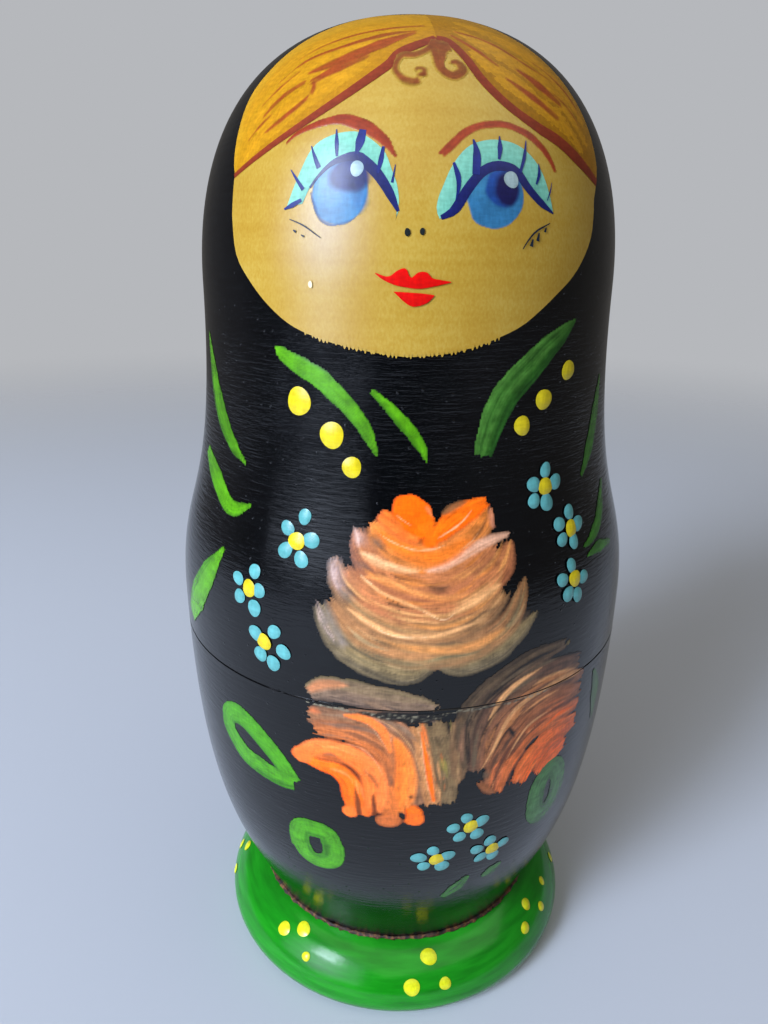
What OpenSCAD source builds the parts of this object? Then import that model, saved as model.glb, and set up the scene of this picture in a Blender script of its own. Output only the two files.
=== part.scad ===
// Nesting doll: five turned wooden dolls, one inside the next. Each hollow doll is an upper half that
// slips over a spigot on its lower half, and each doll stands on a separate turned foot.
// The origin is the middle of the outer foot's underside, +Z is up and the face looks along -Y.

/* [Outer doll] */
// Height of the outer doll, foot included
total_height = 150; // [140:1:165]
// Diameter of the belly at its widest place
belly_diameter = 72.7; // [68:0.1:78]
// Height of the belly's widest place
belly_height = 68.5; // [66:0.5:72]
// Diameter of the head where the shoulders run into it
head_diameter = 61; // [56:0.5:64]
// Height where the shoulders run into the head
neck_height = 116; // [112:1:120]
// Height of the joint between the two halves
seam_height = 63.3; // [58:0.1:66]

/* [Foot] */
// Largest diameter of the foot
foot_diameter = 64.2; // [60:0.2:68]
// Height of the foot, up to the crease under the body
foot_height = 10.5; // [9:0.5:13]
// Rounding of the foot's lower edge
foot_rim = 3.2; // [2:0.1:4]
// How far the foot's top face runs out level from the crease
foot_brow = 4; // [2:0.5:5]
// Diameter of the crease between the body and the foot
crease_diameter = 50.4; // [46:0.2:54]

/* [Curves] */
// Outward lean of the body where it rises from the crease, in degrees
keel_lean = 18; // [10:1:25]
// How far the body keeps that lean
keel_reach = 11; // [6:1:16]
// How far the belly stays upright below its widest place
belly_reach_down = 42; // [32:1:44]
// How far the belly stays upright above its widest place
belly_reach_up = 18; // [12:1:22]
// How far the head stays upright below the neck
neck_reach_down = 34; // [26:1:36]
// How far the head stays upright above the neck
neck_reach_up = 13; // [9:0.5:16]
// How far the crown stays level from the axis
crown_reach = 26.5; // [22:0.5:29]

/* [Wood] */
// Thickness of the sides, measured level
wall = 4.6; // [4:0.1:5.2]
// Thickness of the crown
crown_wall = 5; // [4:0.5:7]
// Height of the floor that the next doll stands on
floor_height = 20; // [18:0.5:22]
// Diameter of that floor
floor_diameter = 49.2; // [46:0.2:51]
// Outward lean of the hollow where it rises from the floor, in degrees
hollow_lean = 24; // [18:1:26]
// How far the hollow keeps that lean
hollow_reach = 8; // [5:0.5:10]
// How far the hollow stays upright below the belly's widest place
hollow_reach_down = 29; // [22:1:34]
// Thickness of the upper half's lip round the socket, where it is thinnest
lip = 2.2; // [1.8:0.1:2.5]
// Thickness of the spigot, with the gap round it
spigot_wall = 2.3; // [2:0.1:2.6]
// Height of the spigot above the seam
spigot_height = 10; // [7:0.5:13]
// Diameter of the tenon that is glued into the foot
tenon_diameter = 28; // [20:0.5:36]
// Length of that tenon
tenon_length = 6; // [4:0.5:7]

/* [Fits] */
// Gap round the spigot, on the radius
slip_gap = 0.1; // [0.05:0.01:0.2]
// Gap above the end of the spigot
socket_gap = 0.8; // [0.5:0.1:1.5]
// Gap round the next doll's foot and belly, on the radius
nest_gap = 0.8; // [0.5:0.1:1.5]
// Least gap above the next doll's head
head_gap = 3; // [2:0.5:6]
// Gap round the tenon and under its end, filled with glue
glue_gap = 0.1; // [0.05:0.01:0.2]

/* [Hidden] */

$fn = 96;
lacquer = "#17181d";
foot_green = "#12801a";
bend_steps = 12;
rim_steps = 8;
joint_overlap = 1;

belly_r = belly_diameter / 2;
head_r = head_diameter / 2;
foot_r = foot_diameter / 2;
crease_r = crease_diameter / 2;
floor_r = floor_diameter / 2;
tenon_r = tenon_diameter / 2;

// A point on the cubic curve from a to d, with b and c as its handles
function bend_point(a, b, c, d, t) =
    pow(1 - t, 3) * a + 3 * pow(1 - t, 2) * t * b + 3 * (1 - t) * t * t * c + pow(t, 3) * d;

// The whole curve without its first point
function bend(a, b, c, d) =
    [for (i = [1:bend_steps]) bend_point(a, b, c, d, i / bend_steps)];

// The lower curve from its start, with its lean and two reaches, up to the belly
function rise(start, lean, reach, reach_down, belly) =
    concat(
        [start],
        bend(start, start + reach * [tan(lean), 1], belly - [0, reach_down], belly)
    );

// The upper curves from the belly over the head to the crown, drawn in by inset and lowered by drop
function dome(inset, drop) =
    let (
        belly = [belly_r - inset, belly_height],
        neck = [head_r - inset, neck_height],
        crown = [0, total_height - drop],
        brow = crown + [crown_reach * (head_r - inset) / head_r, 0]
    )
    concat(
        bend(belly, belly + [0, belly_reach_up], neck - [0, neck_reach_down], neck),
        bend(neck, neck + [0, neck_reach_up], brow, crown)
    );

// The turned outside from the crease up to the crown
function outside() =
    concat(
        rise([crease_r, foot_height], keel_lean, keel_reach, belly_reach_down, [belly_r, belly_height]),
        dome(0, 0)
    );

// The turned hollow from the edge of its floor up to the inside of the crown
function inside() =
    concat(
        rise([floor_r, floor_height], hollow_lean, hollow_reach, hollow_reach_down, [belly_r - wall, belly_height]),
        dome(wall, crown_wall)
    );

// The foot's outline from the underside, round its lower edge and up to the crease
function foot_outline() =
    let (
        rim_centre = [foot_r - foot_rim, foot_rim],
        edge = [foot_r, foot_rim],
        crease = [crease_r, foot_height]
    )
    concat(
        [for (i = [0:rim_steps]) rim_centre + foot_rim * [sin(90 * i / rim_steps), -cos(90 * i / rim_steps)]],
        bend(edge, [foot_r, foot_height / 2], crease + [foot_brow, -foot_brow / 4], crease)
    );

// Radius of the outside at a height
function radius_at(z) = lookup(z, [for (p = outside()) [p[1], p[0]]]);

// The socket leaves the lip at both its ends, and the spigot leaves the mouth that the next doll comes out of
socket_r = min(radius_at(seam_height), radius_at(seam_height + spigot_height + socket_gap)) - lip;
mouth_r = socket_r - spigot_wall;
hollow_height = total_height - crown_wall - floor_height;

// Scale of the doll at a place in the nest: the largest whose foot, belly and height fit in the one before
function size(place) =
    place == 0 ? 1 :
    let (
        before = size(place - 1),
        by_foot = (before * floor_r - nest_gap) / foot_r,
        by_belly = (before * mouth_r - nest_gap) / belly_r,
        by_height = (before * hollow_height - head_gap) / total_height
    )
    floor(1000 * min(by_foot, by_belly, by_height)) / 1000;

// Height of the table under the doll at a place in the nest
function stand(place) =
    place == 0 ? 0 : stand(place - 1) + floor_height * size(place - 1);

module solid_side() {
    polygon(concat([[0, foot_height]], outside()));
}

module hollow_side() {
    polygon(concat([[0, floor_height]], inside()));
}

module spigot_side(gap) {
    translate([0, seam_height - joint_overlap])
        square([socket_r - gap, spigot_height + joint_overlap]);
}

module socket_side(gap) {
    translate([0, seam_height - joint_overlap])
        square([socket_r, spigot_height + joint_overlap + gap]);
}

module tenon_side() {
    translate([0, foot_height - tenon_length])
        square([tenon_r, tenon_length + joint_overlap]);
}

module mortise_side(gap) {
    translate([0, foot_height - tenon_length - gap])
        square([tenon_r + gap, tenon_length + gap + joint_overlap]);
}

module below(height) {
    square([belly_diameter, height]);
}

module above(height) {
    translate([0, height]) square([belly_diameter, total_height]);
}

// Sets a turned side down at its place in the nest
module turned(place) {
    translate([0, 0, stand(place)]) scale(size(place)) rotate_extrude() children();
}

module upper_half(place) {
    color(lacquer) turned(place) difference() {
        intersection() {
            solid_side();
            above(seam_height);
        }
        hollow_side();
        socket_side(socket_gap / size(place));
    }
}

module lower_half(place) {
    color(lacquer) turned(place) difference() {
        union() {
            intersection() {
                solid_side();
                below(seam_height);
            }
            spigot_side(slip_gap / size(place));
            tenon_side();
        }
        intersection() {
            hollow_side();
            square([mouth_r, total_height]);
        }
    }
}

module solid_body(place) {
    color(lacquer) turned(place) {
        solid_side();
        tenon_side();
    }
}

module foot(place) {
    color(foot_green) turned(place) difference() {
        polygon(concat([[0, 0]], foot_outline(), [[0, foot_height]]));
        mortise_side(glue_gap / size(place));
    }
}

module outer_upper() { upper_half(0); }
module outer_lower() { lower_half(0); }
module outer_foot() { foot(0); }
module second_upper() { upper_half(1); }
module second_lower() { lower_half(1); }
module second_foot() { foot(1); }
module third_upper() { upper_half(2); }
module third_lower() { lower_half(2); }
module third_foot() { foot(2); }
module fourth_upper() { upper_half(3); }
module fourth_lower() { lower_half(3); }
module fourth_foot() { foot(3); }
module smallest_body() { solid_body(4); }
module smallest_foot() { foot(4); }

outer_upper();
outer_lower();
outer_foot();
second_upper();
second_lower();
second_foot();
third_upper();
third_lower();
third_foot();
fourth_upper();
fourth_lower();
fourth_foot();
smallest_body();
smallest_foot();
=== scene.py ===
from math import cos, pi, radians, sin, tan

import bpy
import numpy as np
from mathutils import Matrix, Vector


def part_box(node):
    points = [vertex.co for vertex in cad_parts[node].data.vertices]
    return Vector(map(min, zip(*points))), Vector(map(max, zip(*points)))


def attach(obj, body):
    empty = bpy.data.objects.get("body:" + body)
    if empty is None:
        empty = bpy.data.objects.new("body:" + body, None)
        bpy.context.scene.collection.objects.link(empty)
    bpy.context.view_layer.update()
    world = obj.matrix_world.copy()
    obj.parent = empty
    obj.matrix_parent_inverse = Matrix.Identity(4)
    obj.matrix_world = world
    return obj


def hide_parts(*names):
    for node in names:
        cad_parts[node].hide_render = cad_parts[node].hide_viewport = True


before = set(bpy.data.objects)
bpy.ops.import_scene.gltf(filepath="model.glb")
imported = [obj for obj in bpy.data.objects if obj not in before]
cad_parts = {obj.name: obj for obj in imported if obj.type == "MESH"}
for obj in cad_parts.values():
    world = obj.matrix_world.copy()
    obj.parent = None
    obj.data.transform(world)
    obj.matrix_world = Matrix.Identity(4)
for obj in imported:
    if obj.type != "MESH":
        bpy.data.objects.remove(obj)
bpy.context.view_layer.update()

# The feet
# Each doll stands on a disc of limewood, turned with a rounded lower edge and a brow that runs up to the
# crease, glued on to the body's tenon, and brushed with green enamel under clear lacquer.
mm = 0.001
DOLLS = ("outer", "second", "third", "fourth", "smallest")
foot_r = 32.1
foot_height = 10.5
foot_rim = 3.2
foot_brow = 4
crease_r = 25.2
tenon_r = 14
tenon_length = 6
glue_gap = 0.1
rim_steps = 12
brow_steps = 30
facets = 160


def bend(a, b, c, d, steps):
    """Points of the cubic curve from a to d, with b and c as its handles, without its first point."""
    points = []
    for i in range(1, steps + 1):
        t = i / steps
        shares = ((1 - t) ** 3, 3 * (1 - t) ** 2 * t, 3 * (1 - t) * t * t, t**3)
        points.append(tuple(np.dot(shares, (a, b, c, d))))
    return points


def turn(name, side):
    """Extrudes a vertex along a side of (radius, height) in millimetres, and spins it round the axis."""
    bpy.ops.object.select_all(action="DESELECT")
    bpy.ops.mesh.primitive_plane_add(size=mm)
    piece = bpy.context.object
    piece.name = name
    piece.data.name = name
    bpy.ops.object.mode_set(mode="EDIT")
    bpy.ops.mesh.merge(type="CENTER")
    bpy.ops.transform.translate(value=(side[0][0] * mm, 0, side[0][1] * mm))
    for (r0, z0), (r1, z1) in zip(side, side[1:]):
        bpy.ops.mesh.extrude_region_move(
            TRANSFORM_OT_translate={"value": ((r1 - r0) * mm, 0, (z1 - z0) * mm)}
        )
    bpy.ops.mesh.select_all(action="SELECT")
    bpy.ops.mesh.spin(steps=facets, angle=2 * pi, center=(0, 0, 0), axis=(0, 0, 1))
    bpy.ops.mesh.select_all(action="SELECT")
    bpy.ops.mesh.remove_doubles(threshold=0.001 * mm)
    bpy.ops.mesh.normals_make_consistent(inside=False)
    bpy.ops.object.mode_set(mode="OBJECT")
    bpy.ops.object.shade_smooth_by_angle(angle=radians(35))
    return piece


def nest(piece, half, dolls=DOLLS):
    """Copies a piece of the outer doll to the dolls inside it, and makes each ride on its own half."""
    name = piece.name
    pieces = {}
    for doll in dolls:
        low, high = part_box(doll + "_foot")
        bpy.ops.object.select_all(action="DESELECT")
        piece.select_set(True)
        bpy.context.view_layer.objects.active = piece
        bpy.ops.object.duplicate(linked=False)
        copy = bpy.context.object
        copy.name = f"{doll}_{name}"
        copy.data.name = copy.name
        copy.scale = Vector((1, 1, 1)) * (high.x / (foot_r * mm))
        copy.location.z = low.z
        bpy.ops.object.transform_apply(location=True, rotation=False, scale=True)
        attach(copy, "smallest_doll" if doll == "smallest" else f"{doll}_{half}_half")
        pieces[doll] = copy
    bpy.data.objects.remove(piece)
    return pieces


def colour(code):
    """Linear colour of an sRGB hex value."""
    parts = [int(code[i : i + 2], 16) / 255 for i in (1, 3, 5)]
    return tuple(p / 12.92 if p <= 0.04045 else ((p + 0.055) / 1.055) ** 2.4 for p in parts) + (1,)


def add(tree, kind, inputs, stops=(), **settings):
    """Adds a node with its settings and, on a ramp, its stops as (position, hex) pairs in rising order.
    An input gets a value, or a link if it is given another node's output."""
    node = tree.nodes.new(kind)
    for key, value in settings.items():
        setattr(node, key, value)
    for i, (position, code) in enumerate(stops):
        elements = node.color_ramp.elements
        element = elements[i] if i < 2 else elements.new(position)
        element.position = position
        element.color = colour(code)
    for key, value in inputs.items():
        if isinstance(value, bpy.types.NodeSocket):
            tree.links.new(value, node.inputs[key])
        else:
            node.inputs[key].default_value = value
    return node


def finish(name, settings):
    """A material with its shader's own settings; gives the material, its node tree and the shader."""
    material = bpy.data.materials.new(name)
    material.use_nodes = True
    shader = material.node_tree.nodes["Principled BSDF"]
    for key, value in settings.items():
        shader.inputs[key].default_value = value
    return material, material.node_tree, shader


# Green enamel brushed on as the foot turned: long level streaks of thicker and thinner paint, and a
# glassy lacquer with a slight ripple.
green_enamel, tree, shader = finish("green_enamel_on_limewood", {"Roughness": 0.16, "IOR": 1.5})
place = add(tree, "ShaderNodeTexCoord", {}).outputs["Object"]
streak_scale = (1 / (9 * mm), 1 / (9 * mm), 1 / (0.9 * mm))
level = add(tree, "ShaderNodeMapping", {"Vector": place, "Scale": streak_scale}).outputs[0]
streaks = add(tree, "ShaderNodeTexNoise", {"Vector": level, "Scale": 1, "Detail": 4}).outputs["Fac"]
greens = [(0.25, "#0b650c"), (0.5, "#107a10"), (0.75, "#1c8c18")]
green = add(tree, "ShaderNodeValToRGB", {"Fac": streaks}, greens)
tree.links.new(green.outputs["Color"], shader.inputs["Base Color"])
ripple_noise = {"Vector": place, "Scale": 1 / (0.7 * mm), "Detail": 3}
ripple = add(tree, "ShaderNodeTexNoise", ripple_noise).outputs["Fac"]
rough = add(tree, "ShaderNodeBump", {"Height": ripple, "Strength": 0.12, "Distance": 0.1 * mm})
tree.links.new(rough.outputs[0], shader.inputs["Normal"])

edge = (foot_r, foot_rim)
crease = (crease_r, foot_height)
rim = []
for i in range(rim_steps + 1):
    lean = radians(90 * i / rim_steps)
    rim.append((foot_r - foot_rim + foot_rim * sin(lean), foot_rim - foot_rim * cos(lean)))
brow_handle = (crease_r + foot_brow, foot_height - foot_brow / 4)
foot_top = bend(edge, (foot_r, foot_height / 2), brow_handle, crease, brow_steps)
mortise_r = tenon_r + glue_gap
mortise_floor = foot_height - tenon_length - glue_gap
mortise = [(mortise_r, foot_height), (mortise_r, mortise_floor), (0, mortise_floor)]
foot = turn("turned_foot", [(0, 0)] + rim + foot_top + mortise)
foot.data.materials.append(green_enamel)
for doll, piece in nest(foot, "lower").items():
    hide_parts(doll + "_foot")

# The lower halves
# Turned limewood cups with a thin spigot that the upper half slips over, black oil paint outside under
# clear lacquer, and bare turned wood on the spigot and in the hollow.
total_height = 150
belly = (36.35, 68.5)
neck = (30.5, 116)
seam_height = 63.3
keel_lean = 18
keel_reach = 11
belly_reach_down = 42
belly_reach_up = 18
neck_reach_down = 34
neck_reach_up = 13
crown_reach = 26.5
wall = 4.6
crown_wall = 5
floor_height = 20
floor_r = 24.6
hollow_lean = 24
hollow_reach = 8
hollow_reach_down = 29
socket_r = 33.889
spigot_wall = 2.3
spigot_height = 10
spigot_chamfer = 0.5
mouth_chamfer = 0.4
slip_gap = 0.1
worn_edge = 0.15
coat_depth = 0.6
outside_steps = 48
hollow_steps = 30


def rise(start, lean, reach, reach_down, top, steps):
    """The lower curve from its start, with its lean in degrees and two reaches, up to the belly."""
    handle = (start[0] + reach * tan(radians(lean)), start[1] + reach)
    return [start] + bend(start, handle, (top[0], top[1] - reach_down), top, steps)


def dome(inset, drop, steps):
    """The upper curves from the belly over the head to the crown, inset from the sides and dropped."""
    low = (belly[0] - inset, belly[1])
    high = (neck[0] - inset, neck[1])
    crown = (0, total_height - drop)
    brow = (crown_reach * high[0] / neck[0], crown[1])
    above_belly = (low[0], low[1] + belly_reach_up)
    below_neck = (high[0], high[1] - neck_reach_down)
    above_neck = (high[0], high[1] + neck_reach_up)
    shoulder = bend(low, above_belly, below_neck, high, steps)
    head = bend(high, above_neck, brow, crown, steps)
    return shoulder + head


outside = rise(crease, keel_lean, keel_reach, belly_reach_down, belly, outside_steps)
outside += dome(0, 0, outside_steps)
floor_edge = (floor_r, floor_height)
widest_inside = (belly[0] - wall, belly[1])
hollow = rise(floor_edge, hollow_lean, hollow_reach, hollow_reach_down, widest_inside, hollow_steps)
hollow += dome(wall, crown_wall, hollow_steps)


def radius_at(height):
    """Radius of the turned outside at a height."""
    return np.interp(height, [z for r, z in outside], [r for r, z in outside])


# Black oil paint laid on in the lathe and lacquered: the brush left fine level ridges, and dust in the
# lacquer stands up as specks, so a light breaks into short level streaks.
gloss = {"Roughness": 0.13, "Specular IOR Level": 0.45}
black_lacquer, tree, shader = finish("black_oil_paint_lacquered", gloss)
place = add(tree, "ShaderNodeTexCoord", {}).outputs["Object"]
ridge_scale = (1 / (4 * mm), 1 / (4 * mm), 1 / (0.5 * mm))
level = add(tree, "ShaderNodeMapping", {"Vector": place, "Scale": ridge_scale}).outputs[0]
ridge_noise = {"Vector": level, "Scale": 1, "Detail": 4, "Roughness": 0.6}
ridges = add(tree, "ShaderNodeTexNoise", ridge_noise).outputs["Fac"]
dust = add(tree, "ShaderNodeTexVoronoi", {"Vector": place, "Scale": 1 / (1.6 * mm)}).outputs["Distance"]
speck = add(tree, "ShaderNodeMapRange", {"Value": dust, 1: 0.05, 2: 0.12, 3: 0.4, 4: 0}).outputs[0]
thick_noise = {"Vector": place, "Scale": 1 / (6 * mm), "Detail": 2}
thick = add(tree, "ShaderNodeTexNoise", thick_noise).outputs["Fac"]
brushed = add(tree, "ShaderNodeMath", {0: ridges, 1: thick}, operation="MULTIPLY").outputs[0]
relief = add(tree, "ShaderNodeMath", {0: brushed, 1: speck}, operation="ADD").outputs[0]
rough = add(tree, "ShaderNodeBump", {"Height": relief, "Strength": 0.8, "Distance": 0.15 * mm})
tree.links.new(rough.outputs[0], shader.inputs["Normal"])
black = add(tree, "ShaderNodeValToRGB", {"Fac": ridges}, [(0.35, "#020203"), (0.7, "#050607")])
tree.links.new(black.outputs["Color"], shader.inputs["Base Color"])

# Limewood left as the gouge and sandpaper left it: pale and dull, with low rings of slightly different
# tone round the axis.
bare_limewood, tree, shader = finish("limewood_turned_bare", {"Roughness": 0.62})
place = add(tree, "ShaderNodeTexCoord", {}).outputs["Object"]
ring_scale = (1 / (14 * mm), 1 / (14 * mm), 1 / (0.6 * mm))
level = add(tree, "ShaderNodeMapping", {"Vector": place, "Scale": ring_scale}).outputs[0]
rings = add(tree, "ShaderNodeTexNoise", {"Vector": level, "Scale": 1, "Detail": 4}).outputs["Fac"]
woods = [(0.3, "#b78d58"), (0.55, "#d3b07c"), (0.75, "#e2c698")]
wood = add(tree, "ShaderNodeValToRGB", {"Fac": rings}, woods)
tree.links.new(wood.outputs["Color"], shader.inputs["Base Color"])
rough = add(tree, "ShaderNodeBump", {"Height": rings, "Strength": 0.25, "Distance": 0.08 * mm})
tree.links.new(rough.outputs[0], shader.inputs["Normal"])


def coat_outside(piece):
    """Gives the outside of a turned piece black lacquer and leaves the rest bare."""
    piece.data.materials.append(black_lacquer)
    piece.data.materials.append(bare_limewood)
    for face in piece.data.polygons:
        r = np.hypot(face.center.x, face.center.y) / mm
        z = face.center.z / mm
        is_level = abs(face.normal.z) >= 0.999
        on_outside = r > radius_at(z) - coat_depth and z > foot_height and not is_level
        face.material_index = 0 if on_outside else 1


mouth_r = socket_r - spigot_wall
spigot_r = socket_r - slip_gap
seam_r = float(radius_at(seam_height))
tenon_end = foot_height - tenon_length
tenon_side = [(0, tenon_end), (tenon_r, tenon_end), (tenon_r, foot_height)]
lower_side = tenon_side + [p for p in outside if p[1] < seam_height - worn_edge]
lower_side += [(seam_r, seam_height - worn_edge), (seam_r - worn_edge, seam_height)]
spigot_top = seam_height + spigot_height
mouth_top = spigot_top - mouth_chamfer
lower_side += [(spigot_r, seam_height), (spigot_r, spigot_top - spigot_chamfer)]
lower_side += [(spigot_r - spigot_chamfer, spigot_top), (mouth_r + mouth_chamfer, spigot_top)]
lower_side += [(mouth_r, mouth_top)]
lower_side += [(min(r, mouth_r), z) for r, z in reversed(hollow) if z < mouth_top]
lower_side += [(0, floor_height)]
lower = turn("lower_cup", lower_side)
coat_outside(lower)
for doll, piece in nest(lower, "lower", DOLLS[:4]).items():
    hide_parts(doll + "_lower")

# The upper halves
# Turned limewood caps with a socket inside the lip, painted black outside like the lower halves and left
# bare inside.
socket_gap = 0.8
lip_chamfer = 0.3
socket_top = spigot_top + socket_gap
upper_side = [(socket_r, socket_top), (socket_r, seam_height + lip_chamfer)]
upper_side += [(socket_r + lip_chamfer, seam_height)]
upper_side += [(seam_r - worn_edge, seam_height), (seam_r, seam_height + worn_edge)]
upper_side += [p for p in outside if p[1] > seam_height + worn_edge]
upper_side += [p for p in reversed(hollow) if p[1] > socket_top]
hollow_r = float(np.interp(socket_top, [z for r, z in hollow], [r for r, z in hollow]))
upper_side += [(hollow_r, socket_top), (socket_r, socket_top)]
upper = turn("upper_cap", upper_side)
coat_outside(upper)
for doll, piece in nest(upper, "upper", DOLLS[:4]).items():
    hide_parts(doll + "_upper")

# The smallest doll's body
# The last doll doesn't open: one solid turning with the same outline and tenon, painted black.
body = turn("solid_body", tenon_side + outside)
coat_outside(body)
for doll, piece in nest(body, "lower", DOLLS[4:]).items():
    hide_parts(doll + "_body")

# The face
# Not painted on: the maker left an oval of the bare limewood showing inside the black and lacquered over
# it, so the fine upright pores of the wood show, and faint level lines from the lathe.
paint_step = 0.004
# The length of a stroke is measured at this usual radius
stroke_r = 32
curve_steps = 12
chin_marks = 46
first_mark = -24
mark_overlap = 0.3
mark_depth = 0.4
brush = np.random.default_rng(4)
laid = []


def surface(side):
    """A turned side as arrays: radius, height, distance along it, and its slope."""
    r, z = np.array(side, float).T
    s = np.concatenate(([0], np.cumsum(np.hypot(np.diff(r), np.diff(z)))))
    return {"r": r, "z": z, "s": s, "dr": np.gradient(r, s), "dz": np.gradient(z, s)}


doll_surface = surface(outside)


def spread(line, on):
    """A line of (degrees round the doll, height) as an array of (degrees, distance along the side)."""
    angles, heights = np.array(line, float).T
    return np.stack([angles, np.interp(heights, on["z"], on["s"])], -1)


def flow(points, count):
    """Evenly spaced places on the smooth curve through some points, and its length in millimetres."""
    points = np.array(points, float)
    ends = np.vstack([2 * points[0] - points[1], points, 2 * points[-1] - points[-2]])
    t = np.linspace(0, 1, curve_steps, endpoint=False)[:, None]
    runs = []
    for p0, p1, p2, p3 in zip(ends, ends[1:], ends[2:], ends[3:]):
        square = 2 * p0 - 5 * p1 + 4 * p2 - p3
        cube = 3 * p1 - p0 - 3 * p2 + p3
        runs.append((2 * p1 + (p2 - p0) * t + square * t**2 + cube * t**3) / 2)
    curve = np.vstack(runs + [points[-1:]])
    steps = np.diff(curve, axis=0) * (radians(stroke_r), 1)
    gone = np.concatenate(([0], np.cumsum(np.hypot(steps[:, 0], steps[:, 1]))))
    even = np.linspace(0, gone[-1], count)
    places = np.stack([np.interp(even, gone, curve[:, 0]), np.interp(even, gone, curve[:, 1])], -1)
    return places, gone[-1]


def lay(angles, lengths, lift, on):
    """Places in metres of points laid on a turned surface and lifted off it."""
    r = np.interp(lengths, on["s"], on["r"]) + lift * np.interp(lengths, on["s"], on["dz"])
    z = np.interp(lengths, on["s"], on["z"]) - lift * np.interp(lengths, on["s"], on["dr"])
    turned = np.radians(angles)
    return np.stack([r * np.sin(turned), -r * np.cos(turned), z], -1) * mm


def wet(mesh, places, paint):
    """Moves a mesh's points on to the doll and gives each its colour, and how well it covers as alpha."""
    mesh.vertices.foreach_set("co", places.astype(np.float32).ravel())
    layer = mesh.color_attributes.new("paint", "FLOAT_COLOR", "POINT")
    layer.data.foreach_set("color", paint.astype(np.float32).ravel())
    mesh.update()


def patch(angles, lengths, lift, paint, on):
    """A grid laid on the doll and lifted off it, with a colour for each of its places."""
    rows, columns = angles.shape
    bpy.ops.object.select_all(action="DESELECT")
    bpy.ops.mesh.primitive_grid_add(x_subdivisions=rows - 1, y_subdivisions=columns - 1, size=1)
    mesh = bpy.context.object.data
    flat = np.empty(len(mesh.vertices) * 3)
    mesh.vertices.foreach_get("co", flat)
    row = np.rint((flat[0::3] + 0.5) * (rows - 1)).astype(int)
    column = np.rint((flat[1::3] + 0.5) * (columns - 1)).astype(int)
    places = lay(angles, lengths, lift + paint_step * len(laid), on)
    wet(mesh, places[row, column], paint[row, column])
    laid.append(bpy.context.object)


def blend(tints, share):
    """Colours from a row of hex tints, at shares of the way from the first to the last."""
    mixed = np.array([colour(code) for code in tints])
    stops = np.linspace(0, 1, len(tints))
    return np.stack([np.interp(share, stops, mixed[:, i]) for i in range(4)], -1)


def fill(near, far, tints, lift=0.03, cell=1.2, on=doll_surface):
    """Paint filled in from a near line up to a far one, both running from left to right."""
    near = spread(near, on)
    far = spread(far, on)
    rows = max(5, int(max(flow(near, 2)[1], flow(far, 2)[1]) / cell)) + 1
    near = flow(near, rows)[0]
    far = flow(far, rows)[0]
    depth = np.hypot(*((far - near) * (radians(stroke_r), 1)).T).max()
    columns = max(2, int(depth / cell)) + 1
    share = np.linspace(0, 1, columns)
    grid = near[:, None] * (1 - share[:, None]) + far[:, None] * share[:, None]
    patch(grid[..., 0], grid[..., 1], lift, np.tile(blend(tints, share), (rows, 1, 1)), on)


def gather(name, material):
    """Joins the strokes laid so far into one piece with its paint."""
    bpy.ops.object.select_all(action="DESELECT")
    for piece in laid:
        piece.select_set(True)
    bpy.context.view_layer.objects.active = laid[0]
    bpy.ops.object.join()
    piece = bpy.context.object
    piece.name = name
    piece.data.name = name
    piece.data.materials.append(material)
    bpy.ops.object.shade_smooth()
    laid.clear()
    return piece


# Limewood under clear lacquer: warm and satin, so that light lies on it as a soft veil, with clouds of
# tone, level lines and faint pores, which are drawn coarser than real ones so that they show.
satin = {"Roughness": 0.27, "IOR": 1.52, "Specular IOR Level": 0.7}
lacquered_limewood, tree, shader = finish("limewood_under_clear_lacquer", satin)
place = add(tree, "ShaderNodeTexCoord", {}).outputs["Object"]
pore_scale = (1 / (0.3 * mm), 1 / (0.3 * mm), 1 / (0.5 * mm))
upright = add(tree, "ShaderNodeMapping", {"Vector": place, "Scale": pore_scale}).outputs[0]
pores = add(tree, "ShaderNodeTexNoise", {"Vector": upright, "Scale": 1, "Detail": 3}).outputs["Fac"]
cloud_noise = {"Vector": place, "Scale": 1 / (9 * mm), "Detail": 3}
cloud = add(tree, "ShaderNodeTexNoise", cloud_noise).outputs["Fac"]
line_scale = (1 / (40 * mm), 1 / (40 * mm), 1 / (1.1 * mm))
level = add(tree, "ShaderNodeMapping", {"Vector": place, "Scale": line_scale}).outputs[0]
lines = add(tree, "ShaderNodeTexNoise", {"Vector": level, "Scale": 1, "Detail": 2}).outputs["Fac"]
faint = add(tree, "ShaderNodeMath", {0: lines, 1: 0.5}, operation="MULTIPLY").outputs[0]
speckled = add(tree, "ShaderNodeMath", {0: pores, 1: cloud}, operation="ADD").outputs[0]
lined = add(tree, "ShaderNodeMath", {0: faint, 1: speckled}, operation="ADD").outputs[0]
tone = add(tree, "ShaderNodeMath", {0: lined, 1: 1 / 2.5}, operation="MULTIPLY").outputs[0]
ambers = [(0.3, "#9d751a"), (0.5, "#a8852c"), (0.7, "#b29540")]
amber = add(tree, "ShaderNodeValToRGB", {"Fac": tone}, ambers)
tree.links.new(amber.outputs["Color"], shader.inputs["Base Color"])
rough = add(tree, "ShaderNodeBump", {"Height": pores, "Strength": 0.15, "Distance": 0.05 * mm})
tree.links.new(rough.outputs[0], shader.inputs["Normal"])

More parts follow.
